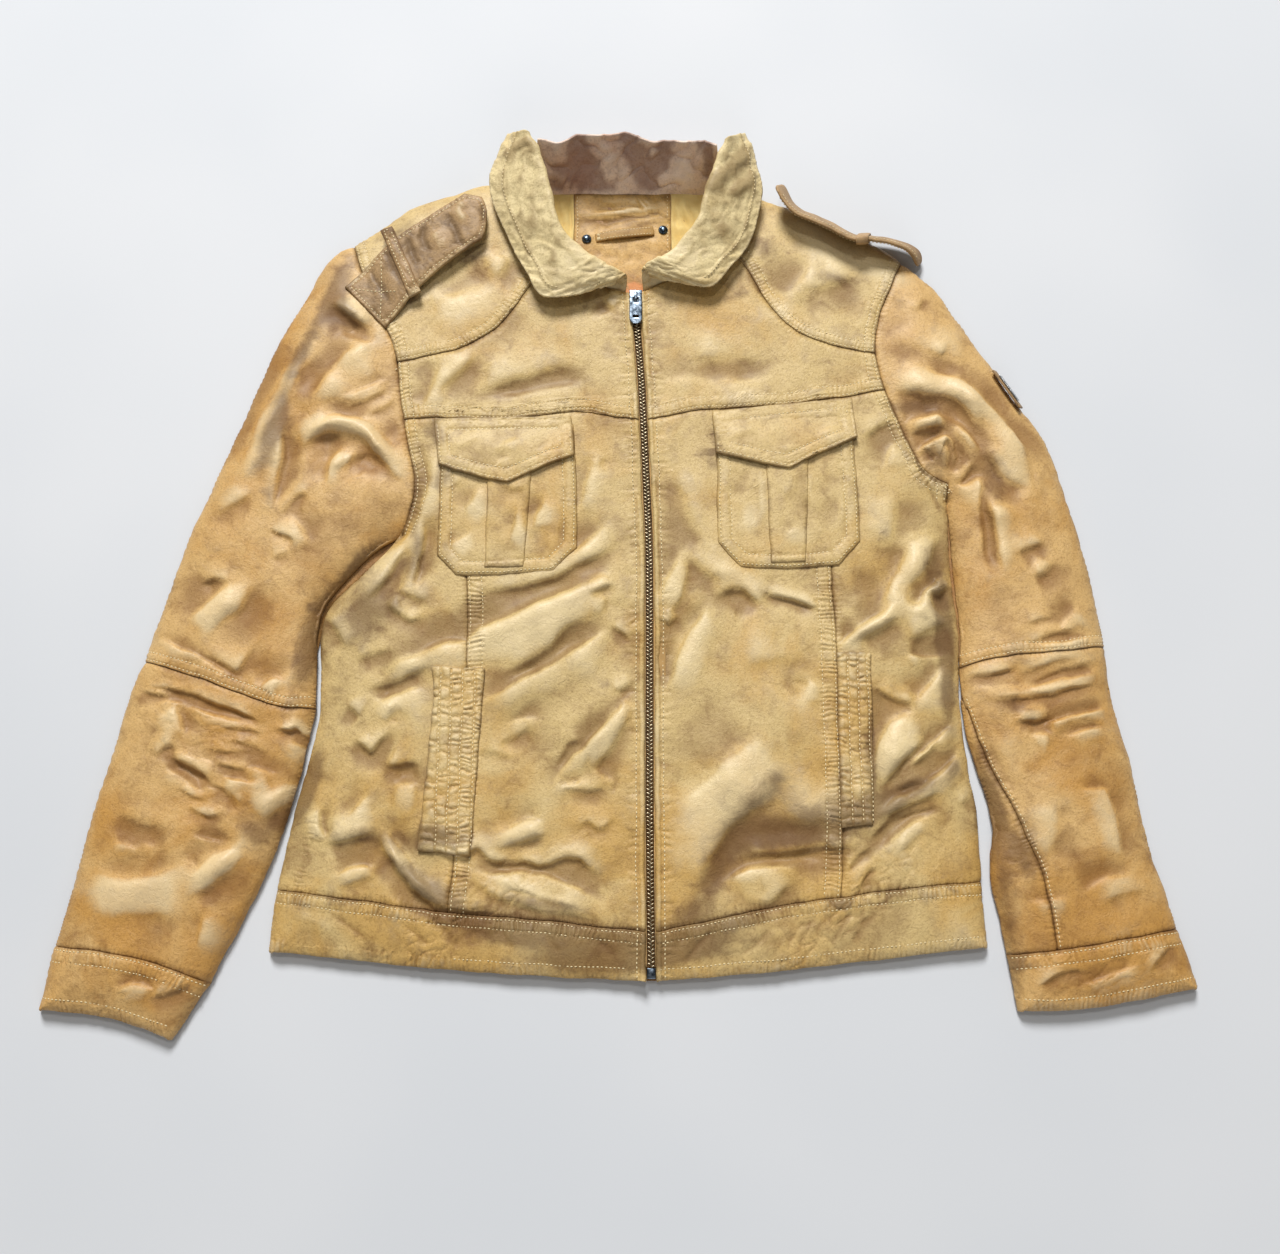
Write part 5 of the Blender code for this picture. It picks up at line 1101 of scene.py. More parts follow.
def cut_size(bm):
    """The area of a sheet along its creases, and the sides of the rectangle it is cut from."""
    area = sum(f.calc_area() for f in bm.faces)
    flat = plan_places(bm)
    middle = flat.mean(0)
    axes = np.linalg.svd(flat - middle, full_matrices=False)[2]
    spread = (flat - middle) @ axes.T
    sides = spread.max(0) - spread.min(0)
    plan = sum(plan_area(f) for f in bm.faces)
    return area, sides * math.sqrt(area / plan)


def creased_sheet(name, height, grime_and_shadow_of):
    """A node's sheet at its height, with its tone, warmth and darkening layers (wear and grime, and painted
    light and shade), with its edges not yet turned.
    """
    bm = fine_sheet(name, lambda places: height(name, places)[0])
    places = plan_places(bm)
    tops, tone = height(name, places)
    warm, grime_and_shade = warmth_and_darkening(places)
    set_layers(bm, painted_light_and_wear_tone(tone, places), warm, grime_and_shade + grime_and_shadow_of(name, places))
    for vert, top, move in zip(bm.verts, tops, drift(places)):
        vert.co = (vert.co.x + move[0], vert.co.y + move[1], top)
    return bm, places, cut_size(bm), outward_layer(bm)


def upper_piece(name, material):
    """A cut piece of the upper layer: laid on the drape, with its edges rolled down."""
    bm, places, (area, sides), outward = creased_sheet(name, height_of, seam_grime_and_shadow)
    group = GROUP[name]
    rims = away_from(RIM_TREES[group], places) < 2.5
    if group == "body":
        rims |= np.minimum(*(ZIP_EDGES[side].nearest(places)[0] for side in (-1, 1))) < 0.6
    layer = bm.verts.layers.float.new("rim")
    for vert, near in zip(bm.verts, rims):
        vert[layer] = float(near)
    roll_edges(bm, lambda v: v[outward] * (0.15 + 0.85 * v[layer]), ROLL)
    made = make_object(name + "_leather", bm, material, name)
    lay_sheet(made, area, sides)


for name in UPPER["body"]:
    upper_piece(name, BODY_SKIN)
for name in UPPER["sleeve_l"] + UPPER["sleeve_r"]:
    upper_piece(name, SLEEVE_SKIN)


# ---------------------------------------------------------------- threads
# The groups of stitches, and a piece for each, which add_stitches takes but does not use
STITCH_SLOTS = {
    "body": "centre_front_l", "sleeve_l": "upper_sleeve_l", "sleeve_r": "upper_sleeve_r",
    "collar": "collar_leaf_l", "strap": "epaulette_l", "neck": "neck_facing",
}
STITCHES = {group: [] for group in STITCH_SLOTS}


def sew(group, places, pitch=STITCH_PITCH, length=STITCH_LENGTH, width=STITCH_WIDTH):
    """A row of stitches along a line of points that lie on the leather."""
    places = np.array(places, float)
    lengths = np.concatenate([[0], np.cumsum(np.linalg.norm(np.diff(places, axis=0), axis=1))])
    count = int(lengths[-1] / pitch)
    for k in range(count):
        middle = (k + 0.5) * pitch
        start, end = (
            Vector([np.interp(middle + half, lengths, places[:, a]) for a in range(3)])
            for half in (-length / 2, length / 2)
        )
        STITCHES[group].append((start, end, width))


def sew_on(group, places, tops):
    """A row of stitches through places in the plan, on the leather at their tops."""
    sew(group, np.column_stack([places + drift(places), tops + THREAD_LIFT]))


def sew_row(name, line, stops, offset=0.0):
    """Stitches at stops along a line, at an offset inside it, on an upper piece."""
    places = np.array([line.at(stop, offset)[0] for stop in stops])
    sew_on(GROUP[name], places, height_of(name, places)[0])


def stops_of(line):
    return np.linspace(0.0, line.length, max(4, round(line.length / ROW_STEP)))


def sew_seams():
    for over, _, line, rows, _ in SEAM_LINES:
        for row in rows:
            sew_row(over, line, stops_of(line), row)
    for side, letter in ((-1, "_l"), (1, "_r")):
        line = Track([(x + ZIP_STITCHES * side, y) for x, y in ZIP_LINE])
        for part, (top, bottom) in zip(ZIP_PARTS, ((0, 122), (122, 556), (556, line.length))):
            sew_row(part + letter, line, np.arange(top, bottom, ROW_STEP))
    for name in both_sides("hem_band_front", "cuff_front"):
        line = Track(mouth_line(name, 9.0))
        sew_row(name, line, stops_of(line))


def mouth_line(name, inside):
    """The mouth edge of a hem band or cuff, moved inside."""
    line = LINES[name][:, :2]
    middles = (line + np.roll(line, -1, axis=0)) / 2
    track = Track(longest_run(line, away_from(MOUTH_TREES[GROUP[name]], middles) < 0.6))
    return [track.at(stop, inside)[0] for stop in np.linspace(2, track.length - 2, 60)]


def add_stitches(group, material, slot):
    """All the stitches of a group as one piece: each a stretched ball."""
    bm = bmesh.new()
    for start, end, width in STITCHES[group]:
        run = end - start
        turn = run.to_track_quat("X", "Z").to_matrix().to_4x4()
        size = Matrix.Diagonal((run.length, width, width * 0.8, 1.0))
        place = Matrix.Translation((start + end) / 2) @ turn @ size
        bmesh.ops.create_icosphere(bm, subdivisions=1, radius=0.5, matrix=place)
    made = place_mesh("stitches_" + group, bm, material)
    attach(made, "jacket")


# ---------------------------------------------------------------- pieces on the panels
def own_edge(name, places):
    return TRACKS[name].nearest(places)


def band_relief(away, along, rows, amount, seed, depth=0.5):
    """Stitch grooves and puckers along the edge of a patch."""
    grooves = sum(bell(away - row, 0.85) for row in rows)
    reach = rows[-1] + 1.5
    return amount * pucker(along, away, GATHER, seed) * smooth_step((reach + 3 - away) / 4) - depth * grooves


def pocket_height(name, places):
    away, along = own_edge(name, places)
    base, fine = base_height("body", places)
    near = band_relief(away, along, (2.0, 11.0), 0.32, 201 + len(name))
    near += 0.6 * smooth_step((11 - away) / 3) * smooth_step(away / 2)
    puff = 0.6 * lumps(places[:, 0], places[:, 1], 19, 203) + 0.8 * slope_relief(places, SLOPES["patches"])
    rise = 1.5 + 0.6 * smooth_step(away / 2.5) + puff * smooth_step((away - 6) / 10)
    return base - 0.6 * fine + rise + near, 0.4 * fine + near + puff


def pleat_height(name, places):
    away = own_edge(name, places)[0]
    pocket, tone = pocket_height("chest_" + name.replace("pleat_", ""), places)
    return pocket + 1.1 + 0.5 * smooth_step(away / 3), tone


def flap_height(name, places):
    away, along = own_edge(name, places)
    base, fine = base_height("body", places)
    seam_y = 131.5 if name[-1] == "l" else 140.5
    drop = smooth_step((seam_y - places[:, 1]) / 34)
    near = band_relief(away, along, (2.0, 10.5), 0.4, 207, 0.45) + 0.5 * smooth_step((10.5 - away) / 3)
    near += 0.8 * slope_relief(places, SLOPES["patches"])
    lift = 1.6 + 4.6 * drop + 0.7 * lumps(places[:, 0], places[:, 1], 24, 209) * drop
    return base - 0.6 * fine + lift + near, 0.4 * fine + near


# The stitch rows down each pocket welt, and how far apart the gathers between them are
WELT_ROWS = {"l": (-149.0, -140.0, -131.0, -120.5), "r": (188.0, 196.5, 204.5)}
WELT_GATHERS = {"l": (8.5, 8.0, 5.5, 4.0, 4.0), "r": (6.0, 7.5, 6.0, 4.0)}


def welt_height(name, places):
    """Doubled leather with rows of stitches, gathered into small pillows between them."""
    away = own_edge(name, places)[0]
    base, fine = base_height("body", places)
    x, y = places[:, 0], places[:, 1]
    rows = WELT_ROWS[name[-1]]
    edges = (x.min() - 9, *rows, x.max() + 9)
    near = 0.5 * lumps(x, y, 6, 213)
    for k, (low, high) in enumerate(zip(edges, edges[1:])):
        inside = smooth_step((x - low) / 1.6) * smooth_step((high - x) / 1.6)
        middle = max(x.min(), low) / 2 + min(x.max(), high) / 2
        lean = 0.5 * lumps(y * 0 + 9.0 * k, y, 16, 217) * (x - middle)
        near += inside * (0.5 + 1.15 * pucker(y + lean, x - middle, WELT_GATHERS[name[-1]][k], 211 + k))
    near -= 0.5 * sum(bell(x - row, 0.9) for row in rows)
    return base - 0.5 * fine + 2.0 + 0.8 * smooth_step(away / 3) + near, 0.4 * fine + 1.5 * near


def strap_height(name, places):
    """The left strap rises towards its round tip, over body and sleeve alike."""
    away, along = own_edge(name, places)
    ground = np.maximum(base_height("body", places)[0], base_height("sleeve_l", places)[0])
    reach = (places[:, 0] + 235) * 0.82 + (places[:, 1] - 240) * 0.57
    rise = 3.4 + 4.4 * smooth_step(reach / 120)
    near = 0.6 * creased(places[:, 0], places[:, 1], 26, 10, 125, 217) + fold_relief(places, CREASES["strap"])
    near += 0.5 * pucker(along, away, 4.5, 218) * bell(away, 6) - 0.5 * bell(away - 3.0, 0.8)
    puff = 1.2 * smooth_step(away / 7)
    rim = 1.6 * bell(away - 0.9, 1.0)
    return ground + rise + near + puff - 0.7, 1.3 * near - 0.3 + rim




def clip_height(name, places):
    away, along = own_edge(name, places)
    strap, _ = strap_height("epaulette_l", places)
    near = 0.35 * lumps(along, away * 0.4, 5, 219) - 0.4 * bell(away - 2.0, 0.8)
    return strap + 1.5 + 0.6 * smooth_step(away / 2) + near, near


THICK_ROLL = [(0.5, -0.5), (0.3, -0.9), (-0.3, -1.0)]
FLAP_ROLL = [(0.5, -0.6), (0.3, -1.1), (-0.3, -1.1)]


def edge_grime_and_shade(name, places):
    """Darker along the edge of a patch: a dark edge with grime, and painted shade where the patch meets the
    panel.
    """
    edge = own_edge(name, places)[0]
    return 0.5 * bell(edge, 0.9) + 0.2 * smooth_step((12 - edge) / 4)


def applied_piece(name, material, height, roll=THICK_ROLL):
    """A piece that lies on the panels, with its thick edges turned down."""
    bm, _, (area, sides), outward = creased_sheet(name, height, edge_grime_and_shade)
    roll_edges(bm, lambda v: v[outward], roll)
    made = make_object(name + "_leather", bm, material, name, wall=1.2)
    lay_sheet(made, area, sides)


def sew_outline(name, group, offset, height, skip=lambda place: False):
    """Stitches round a patch, at an offset from its edge."""
    line = TRACKS[name]
    runs = [[]]
    for stop in np.arange(0, line.length, 1.0):
        place = line.at(stop, offset)[0]
        clear = line.nearest(place[None, :])[0][0] > offset - 0.25
        if clear and not skip(place):
            runs[-1].append(place)
        elif len(runs[-1]) > 6:
            runs.append([])
    for run in runs:
        if len(run) > 6:
            sew_places(name, group, np.array(run), height)


def sew_places(name, group, places, height):
    gaps = np.linalg.norm(np.diff(places, axis=0), axis=1)
    for part in np.split(np.arange(len(places)), np.flatnonzero(gaps > 4.0) + 1):
        if len(part) > 4:
            sew_on(group, places[part], height(name, places[part])[0])


for side in "lr":
    pocket, flap, welt = "chest_pocket_" + side, "pocket_flap_" + side, "welt_" + side
    applied_piece(pocket, BODY_SKIN, pocket_height)
    applied_piece("pocket_pleat_" + side, BODY_SKIN, pleat_height)
    applied_piece(flap, BODY_SKIN, flap_height, FLAP_ROLL)
    applied_piece(welt, BODY_SKIN, welt_height)
    for offset in (2.0, 11.0):
        sew_outline(pocket, "body", offset, pocket_height)
        sew_outline(flap, "body", offset - 0.2, flap_height, lambda place: place[1] > 121)
    for column in WELT_ROWS[side]:
        low, high = (-240, -94) if side == "l" else (-218, -81)
        run = np.column_stack([np.full(120, column), np.linspace(high, low, 120)])
        sew_places(welt, "body", run, welt_height)
STRAP_ROLL = [(0.6, -0.7), (0.3, -1.4), (-0.5, -1.2)]
applied_piece("epaulette_l", STRAP_SKIN, strap_height, STRAP_ROLL)
applied_piece("epaulette_clip_l", STRAP_SKIN, clip_height)
sew_outline("epaulette_l", "strap", 3.0, strap_height)
sew_outline("epaulette_clip_l", "strap", 2.0, clip_height)
for start, end in (((-238, 251), (-196, 247)), ((-213, 224), (-214, 282))):
    cross = np.linspace(start, end, 60)
    sew_places("epaulette_l", "strap", cross, strap_height)
sew_seams()


# ---------------------------------------------------------------- the collar
# From the back round to the zip: where it is sewn, its roll and its edge
LEAVES = {
    "l": [
        (-86, 366, -83, 386, 50, -103, 397, 33), (-84, 353, -74, 371, 49, -110, 384, 30),
        (-82, 338, -68, 352, 47, -118, 364, 27), (-79, 324, -64, 335, 46, -119, 347, 25),
        (-76, 311, -60, 318, 45, -114, 328, 24), (-70, 299, -56, 304, 44, -104, 305, 24),
        (-64, 290, -50, 293, 42, -94, 282, 24), (-54, 281, -40, 285, 39, -83, 262, 27),
        (-43, 267, -31, 277, 37, -71, 241, 28), (-29, 260, -20, 271, 34, -48, 240, 28),
        (-14, 254, -8, 266, 30, -26, 247, 26), (3, 251, 4, 261, 24, -8, 256, 23),
    ],
    "r": [
        (96, 366, 92, 378, 51, 110, 396, 36), (94, 353, 85, 364, 50, 118, 380, 32),
        (92, 338, 80, 347, 48, 122, 364, 29), (90, 324, 75, 332, 47, 126, 345, 26),
        (86, 311, 69, 311, 45, 122, 323, 24), (80, 300, 63, 300, 43, 117, 303, 24),
        (72, 290, 56, 292, 41, 109, 286, 24), (62, 281, 48, 282, 38, 96, 269, 27),
        (51, 266, 38, 275, 36, 80, 250, 28), (40, 260, 30, 272, 34, 60, 251, 28),
        (29, 255, 23, 270, 30, 42, 256, 26), (19, 252, 18, 267, 25, 27, 262, 23),
    ],
}
COLLAR_BACK = [
    (-80, 359, -75, 382, 49), (-60, 358, -57, 380, 47), (-38, 359, -36, 384, 50), (-16, 358, -15, 386, 50),
    (6, 359, 5, 384, 52), (28, 358, 27, 379, 49), (50, 359, 49, 381, 47), (70, 358, 68, 378, 50),
    (90, 359, 84, 374, 51),
]
LEAF_GRID = (64, 190)  # across and along
# Creases of the leaves, where they are as shares of its length and of the way to its edge
LEAF_CREASES = {
    "l": [
        (-1.6, 4, 4, 0.04, 0.5, 0.1, 0.95), (-1.2, 4, 4, 0.55, 0.42, 0.68, 0.75),
    ],
    "r": [
        (-2.4, 5, 5, 0.05, 0.95, 0.22, 0.52, 0.34, 0.36), (-2, 4, 4, 0.16, 0.98, 0.32, 0.6),
    ],
}


def grid_surface(rows, across, along):
    """A close grid of places through a few control rows."""
    fine_rows = np.array([spline(row, across) for row in rows])
    return np.array([spline(fine_rows[:, k], along) for k in range(across)]).transpose(1, 0, 2)


def surface_normals(places):
    along = np.gradient(places, axis=0)
    across = np.gradient(places, axis=1)
    normal = np.cross(across, along)
    return normal / np.linalg.norm(normal, axis=2, keepdims=True)


def grid_mesh(places):
    """A mesh grid put on the places."""
    along, across = places.shape[:2]
    bm = bmesh.new()
    bmesh.ops.create_grid(bm, x_segments=across - 1, y_segments=along - 1, size=1.0)
    for vert, place in zip(bm.verts, places.reshape(-1, 3)):
        vert.co = place
    return bm


def lengths_of(places, axis):
    steps = np.linalg.norm(np.diff(places, axis=axis), axis=2)
    zero = np.zeros_like(np.take(steps, [0], axis=axis))
    return np.concatenate([zero, np.cumsum(steps, axis=axis)], axis=axis)


def leaf_line(side, part):
    """How far inside the outer edge the stitched fold of a leaf runs."""
    top, tip = {"l": (17.0, 11.0), "r": (11.0, 10.0)}[side]
    return top + (tip - top) * part / 0.75


def leaf_places(side):
    """One collar leaf: sewn edge, roll and outer edge, with its creases and puckers."""
    rows = []
    for sx, sy, rx, ry, rz, ex, ey, ez in LEAVES[side]:
        middle = ((rx + ex) / 2, (ry + ey) / 2, (rz + ez) / 2 + 3.0)
        foot = (sx, sy, 7.5 + 5.5 * float(smooth_step((sy - 262) / 25)))
        rows.append([foot, (rx, ry, rz), middle, (ex, ey, ez)])
    places = grid_surface(rows, *LEAF_GRID)
    normals = surface_normals(places) * (1 if side == "r" else -1)
    run = lengths_of(places, 0)
    cut = lengths_of(places, 1)
    to_edge = cut[:, -1:] - cut
    share = np.broadcast_to(np.linspace(0, 1, places.shape[1])[None, :], to_edge.shape)
    part = np.broadcast_to(np.linspace(0, 1, places.shape[0])[:, None], to_edge.shape)
    relief = 0.9 * lumps(run, cut, 26, 301) + 0.5 * lumps(run, cut, 9, 302)
    relief += 0.8 * creased(run, cut, 40, 14, 20, 306)
    relief += 0.6 * lumps(run, to_edge * 0.4, 5.5, 303) * bell(to_edge, 9)
    relief += 1.6 * lumps(run, to_edge * 0.3, 15, 304) * bell(to_edge, 12) * smooth_step((part - 0.45) / 0.2)
    inside = leaf_line(side, part)
    long_side = smooth_step((0.78 - part) / 0.06)
    relief -= 1.0 * bell(to_edge - inside, 1.0) * long_side
    relief += 0.3 * smooth_step((inside - to_edge) / 3) * long_side
    relief += 0.4 * pucker(run, to_edge, 4.2, 305) * bell(to_edge, 7)
    across, along = LEAF_GRID
    flat = np.column_stack([part.ravel() * along, share.ravel() * across])
    creases = [(*row[:3], pairs_of(row[3:]) * (along, across)) for row in LEAF_CREASES[side]]
    creases = [(*row, *line.ravel()) for *row, line in creases]
    relief += fold_relief(flat, creases).reshape(relief.shape)
    places = places + normals * relief[:, :, None]
    return places, normals, relief, to_edge


def sign_up(bm):
    """Turns the faces so that most look up."""
    bm.normal_update()
    if sum(f.normal.z * f.calc_area() for f in bm.faces) < 0:
        bmesh.ops.reverse_faces(bm, faces=bm.faces[:])


def curved_piece(node, places, tone, material, wall):
    """A curved sheet of leather from a grid of places."""
    bm = grid_mesh(places)
    warm, _ = warmth_and_darkening(places.reshape(-1, 3)[:, :2])
    set_layers(bm, tone.ravel(), np.minimum(warm, 1.3), np.zeros(len(warm)))
    bmesh.ops.triangulate(bm, faces=bm.faces[:])
    sign_up(bm)
    area = sum(f.calc_area() for f in bm.faces)
    sides = (float(lengths_of(places, 0)[-1].max()), float(lengths_of(places, 1)[:, -1].max()))
    made = make_object(node + "_leather", bm, material, node, wall=wall)
    made.modifiers["Wall"].offset = 0.0
    lay_sheet(made, area, sides)


for side in "lr":
    places, normals, relief, to_edge = leaf_places(side)
    # A leaf's tone: its relief paints ridges pale and hollows dark (painted light and shade), the edge is pale
    # with wear, and the half near the zip is painted paler, painted light where it turns from the key
    edge_wear_and_light = relief + 1.6 * bell(to_edge, 1.6)
    edge_wear_and_light += 1.4 * smooth_step((np.linspace(0, 1, len(places))[:, None] - 0.5) / 0.25)
    curved_piece("collar_leaf_" + side, places, edge_wear_and_light, COLLAR_SKIN, 2.4)
    insides = leaf_line(side, np.linspace(0, 1, len(places)))
    row = [
        [np.interp(inside, cut[::-1], line[::-1, a]) for a in range(3)]
        for inside, cut, line in zip(insides, to_edge, places)
    ]
    lift = np.array([normals[k, int(np.argmin(abs(to_edge[k] - insides[k])))] for k in range(len(places))])
    outward_sign = 1 if lift[len(lift) // 2][2] > 0 else -1
    last = int(0.76 * len(places))
    sew("collar", np.array(row)[4:last] + outward_sign * lift[4:last] * 1.35, width=0.9)


def collar_back_places():
    rows = []
    for fx, fy, tx, ty, tz in COLLAR_BACK:
        foot, top = np.array((fx, fy - 4.4, 3.6)), np.array((tx, ty, tz))
        rows.append([foot, foot + (top - foot) * 0.5 + np.array((0, 1.5, 0)), top])
    places = grid_surface(rows, 44, 150)
    normals = surface_normals(places)
    normals *= np.where(normals[:, :, 1:2] > 0, -1, 1)
    run, cut = lengths_of(places, 0), lengths_of(places, 1)
    ends = smooth_step(np.minimum(run, run[-1:] - run) / 12)
    relief = 3.4 * lumps(run, cut * 0.45, 24, 311) + 1.8 * creased(run, cut, 34, 22, 55, 313)
    relief += 0.7 * lumps(run, cut, 11, 315)
    relief *= ends * smooth_step(cut / 8)
    places = places + normals * relief[:, :, None]
    places[:, :, 2] += (1.2 * lumps(run, cut * 0 + 3, 18, 317)) * (cut / cut[:, -1:]) ** 2
    return places, relief


places, relief = collar_back_places()
curved_piece("collar_back", places, relief, DARK_SKIN, 2.0)


# ---------------------------------------------------------------- the back layer
def under_piece(node):
    """A piece of the layer that lies on the surface, a little inside the rolled rims."""
    bm = plan_of(node)
    for longest in (30, 15):
        subdivide(bm, [e for e in bm.edges if e.calc_length() > longest])
    places = plan_places(bm)
    warm, grime_and_shade = warmth_and_darkening(places)
    # A tone of -0.8 paints the whole back layer darker, painted shade for the deep gaps it shows through; it
    # gets no grime
    set_layers(bm, np.full(len(places), -0.8), warm, grime_and_shade * 0)
    area, sides = cut_size(bm)
    lay_sheet(make_object(node + "_leather", bm, BACK_SKIN, node, wall=1.9), area, sides)


for node in ("back_panel", "hem_band_back", "sleeve_under_l", "cuff_back_l", "sleeve_under_r", "cuff_back_r"):
    under_piece(node)


# ---------------------------------------------------------------- the neck
def soft_height(name, places):
    """The quilted facing and the lining strips beside it."""
    away = own_edge(name, places)[0]
    x, y = places[:, 0], places[:, 1]
    puff = 1.0 * lumps(x * 0.4, y, 15, 401) + 0.5 * lumps(x, y, 9, 403) + 0.7 * creased(x, y, 60, 14, 4, 405)
    edge = bell(away - 3.2, 0.9)
    near = puff * smooth_step(away / 6) - 0.6 * edge + 0.5 * bell(away - 1.4, 1.3)
    near += fold_relief(places, CREASES["facing"])
    return 5.0 + near, near




def strap_ring(half_width, half_thick, around=20, power=0.55):
    """The section of a flat strap with round edges: sideways and upwards."""
    turn = np.linspace(0, 2 * math.pi, around + 1)
    side = np.sign(np.cos(turn)) * np.abs(np.cos(turn)) ** power * half_width
    up = np.sign(np.sin(turn)) * np.abs(np.sin(turn)) ** power * half_thick
    return side, up


def strap_places(centres, sides, ups, half_widths, half_thicks, around=20):
    """Places round a strap, a closed ring at each station."""
    rings = []
    for centre, side, up, wide, thick in zip(centres, sides, ups, half_widths, half_thicks):
        a, b = strap_ring(wide, thick, around)
        rings.append(centre + np.outer(a, side) + np.outer(b, up))
    return np.array(rings)


def closed_piece(node, places, tone, material):
    """A solid strap from the places round it."""
    bm = grid_mesh(places)
    warm, _ = warmth_and_darkening(places.reshape(-1, 3)[:, :2])
    set_layers(bm, np.broadcast_to(tone, places.shape[:2]).ravel(), warm, np.zeros(len(warm)))
    bmesh.ops.remove_doubles(bm, verts=bm.verts[:], dist=0.01)
    bmesh.ops.recalc_face_normals(bm, faces=bm.faces[:])
    make_object(node + "_leather", bm, material, node, wall=0)


def unit(vectors):
    return vectors / np.linalg.norm(vectors, axis=-1, keepdims=True)


def round_ends(stops, length, reach):
    """How full a strap is along its length: from nothing at each end to one."""
    near = np.clip(np.minimum(stops, length - stops) / reach, 0, 1)
    return np.sqrt(1 - (1 - near) ** 2)


HANGER_LINE = [(-25, 309, 4.9), (-14, 311, 6.9), (2, 313, 7.5), (18, 315, 6.9), (29, 317, 4.9)]
EPAULETTE_R = [
    (265, 278, 9, 271, 285, 5), (257, 285, 21, 267, 297, 5), (243, 288, 31, 251, 306, 5),
    (219, 291, 34, 226, 310, 5), (205, 292, 34, 212, 312, 5), (179, 306, 34, 186, 327, 6),
    (151, 320, 35, 159, 340, 7), (136, 343, 37, 147, 359, 14),
]


def add_hanger():
    line = spline(HANGER_LINE, 60)
    run = unit(np.gradient(line, axis=0))
    ups = unit(np.cross(run, np.array((0.0, 1.0, 0.0))) * -1)
    ups *= np.sign(ups[:, 2:3])
    sides = np.cross(ups, run)
    stops = lengths_of(line[:, None, :], 0)[:, 0]
    full = round_ends(stops, stops[-1], 1.2)
    wave = 0.25 * lumps(stops, stops * 0, 6, 411)
    places = strap_places(line, sides, ups, 4.4 * full + wave, 1.1 * full, 16)
    closed_piece("hanger_loop", places, -0.9, FACING_SKIN)
    for offset in (-2.9, 2.9):
        sew("neck", line[2:-2] + sides[2:-2] * offset + ups[2:-2] * 1.05, 2.8, 2.1, 0.8)
    for stop in (3, 4, 5):
        ends = [line[stop] + sides[stop] * half + ups[stop] * 1.3 for half in (-4.0, 4.0)]
        sew("neck", ends, 4.0, 4.4, 1.0)


def add_right_strap():
    rows = np.array(EPAULETTE_R, float).reshape(-1, 2, 3)
    upper, lower = spline(rows[:, 0], 120), spline(rows[:, 1], 120)
    centres = (upper + lower) / 2
    sides = unit(upper - lower)
    run = unit(np.gradient(centres, axis=0))
    ups = unit(np.cross(run, sides))
    half = np.linalg.norm(upper - lower, axis=1) / 2
    stops = lengths_of(centres[:, None, :], 0)[:, 0]
    full = round_ends(stops, stops[-1], 6.0)
    bulge = 1.1 * lumps(stops, stops * 0 + 5, 18, 421)
    thick = (1.9 + 0.5 * lumps(stops, stops * 0, 14, 423)) * full
    places = strap_places(centres + ups * bulge[:, None], sides, ups, half * (0.55 + 0.45 * full), thick, 28)
    closed_piece("epaulette_r", places, -0.3, STRAP_SKIN)
    for face in (-1, 1):
        row = centres + sides * (half - 3.0)[:, None] + ups * (bulge + face * thick * 1.03)[:, None]
        sew("strap", row[6:-6], 3.4, 2.5, 0.8)
    k = int(np.argmin(np.linalg.norm(upper - np.array((212.0, 296.0, 34.0)), axis=1)))
    ring_side, ring_up = strap_ring(half[k] + 1.6, 1.9 + 1.6, 48, 0.5)
    ring = centres[k] + np.outer(ring_side, sides[k]) + np.outer(ring_up, ups[k])
    outward = unit(np.outer(ring_side / (half[k] + 1.6) ** 2, sides[k]) + np.outer(ring_up / 3.5**2, ups[k]))
    reach = np.repeat(run[k][None, :], len(ring), axis=0)
    places = strap_places(ring, reach, outward, np.full(len(ring), 5.6), np.full(len(ring), 0.9), 14)
    closed_piece("epaulette_clip_r", places, 0.0, STRAP_SKIN)


# The section of a press stud's cap: out from its axis and up
STUD_PROFILE = [(0.0, 2.3), (1.6, 2.2), (2.6, 1.7), (3.0, 1.1), (3.3, 1.0), (4.0, 0.9), (4.3, 0.4), (4.3, -0.8)]
STUDS = {"l": (-32.5, 308.5), "r": (37.0, 317.5)}


def add_studs():
    """Domed press studs of blued steel that hold the ends of the hanger loop."""
    for side, (x, y) in STUDS.items():
        bm = bmesh.new()
        verts = [bm.verts.new((r, 0.0, z)) for r, z in STUD_PROFILE]
        edges = [bm.edges.new(pair) for pair in zip(verts, verts[1:])]
        bmesh.ops.spin(bm, geom=verts + edges, cent=(0, 0, 0), axis=(0, 0, 1), angle=2 * math.pi, steps=32)
        bmesh.ops.remove_doubles(bm, verts=bm.verts[:], dist=0.001)
        bmesh.ops.recalc_face_normals(bm, faces=bm.faces[:])
        bmesh.ops.translate(bm, vec=(x, y, 5.2), verts=bm.verts[:])
        make_object("hanger_stud_" + side + "_cap", bm, BLUED, "hanger_stud_" + side, wall=0)


def metal(name, pale, dark, rough):
    """Plated zip metal, dulled by handling: mottled paler and darker by a fine noise."""
    made = Shader(name)
    wear = made.noise(3.0, 4, 0.65)
    tint = made.mix(made.ramp(wear, 0.35, 0.7), dark, pale)
    gloss = made.math("ADD", rough, made.spread(wear, 0.25), clamp=True)
    made.set(Base_Color=tint, Metallic=1.0, Roughness=gloss, Normal=made.bump(wear, 0.06, 0.5))
    return made.material


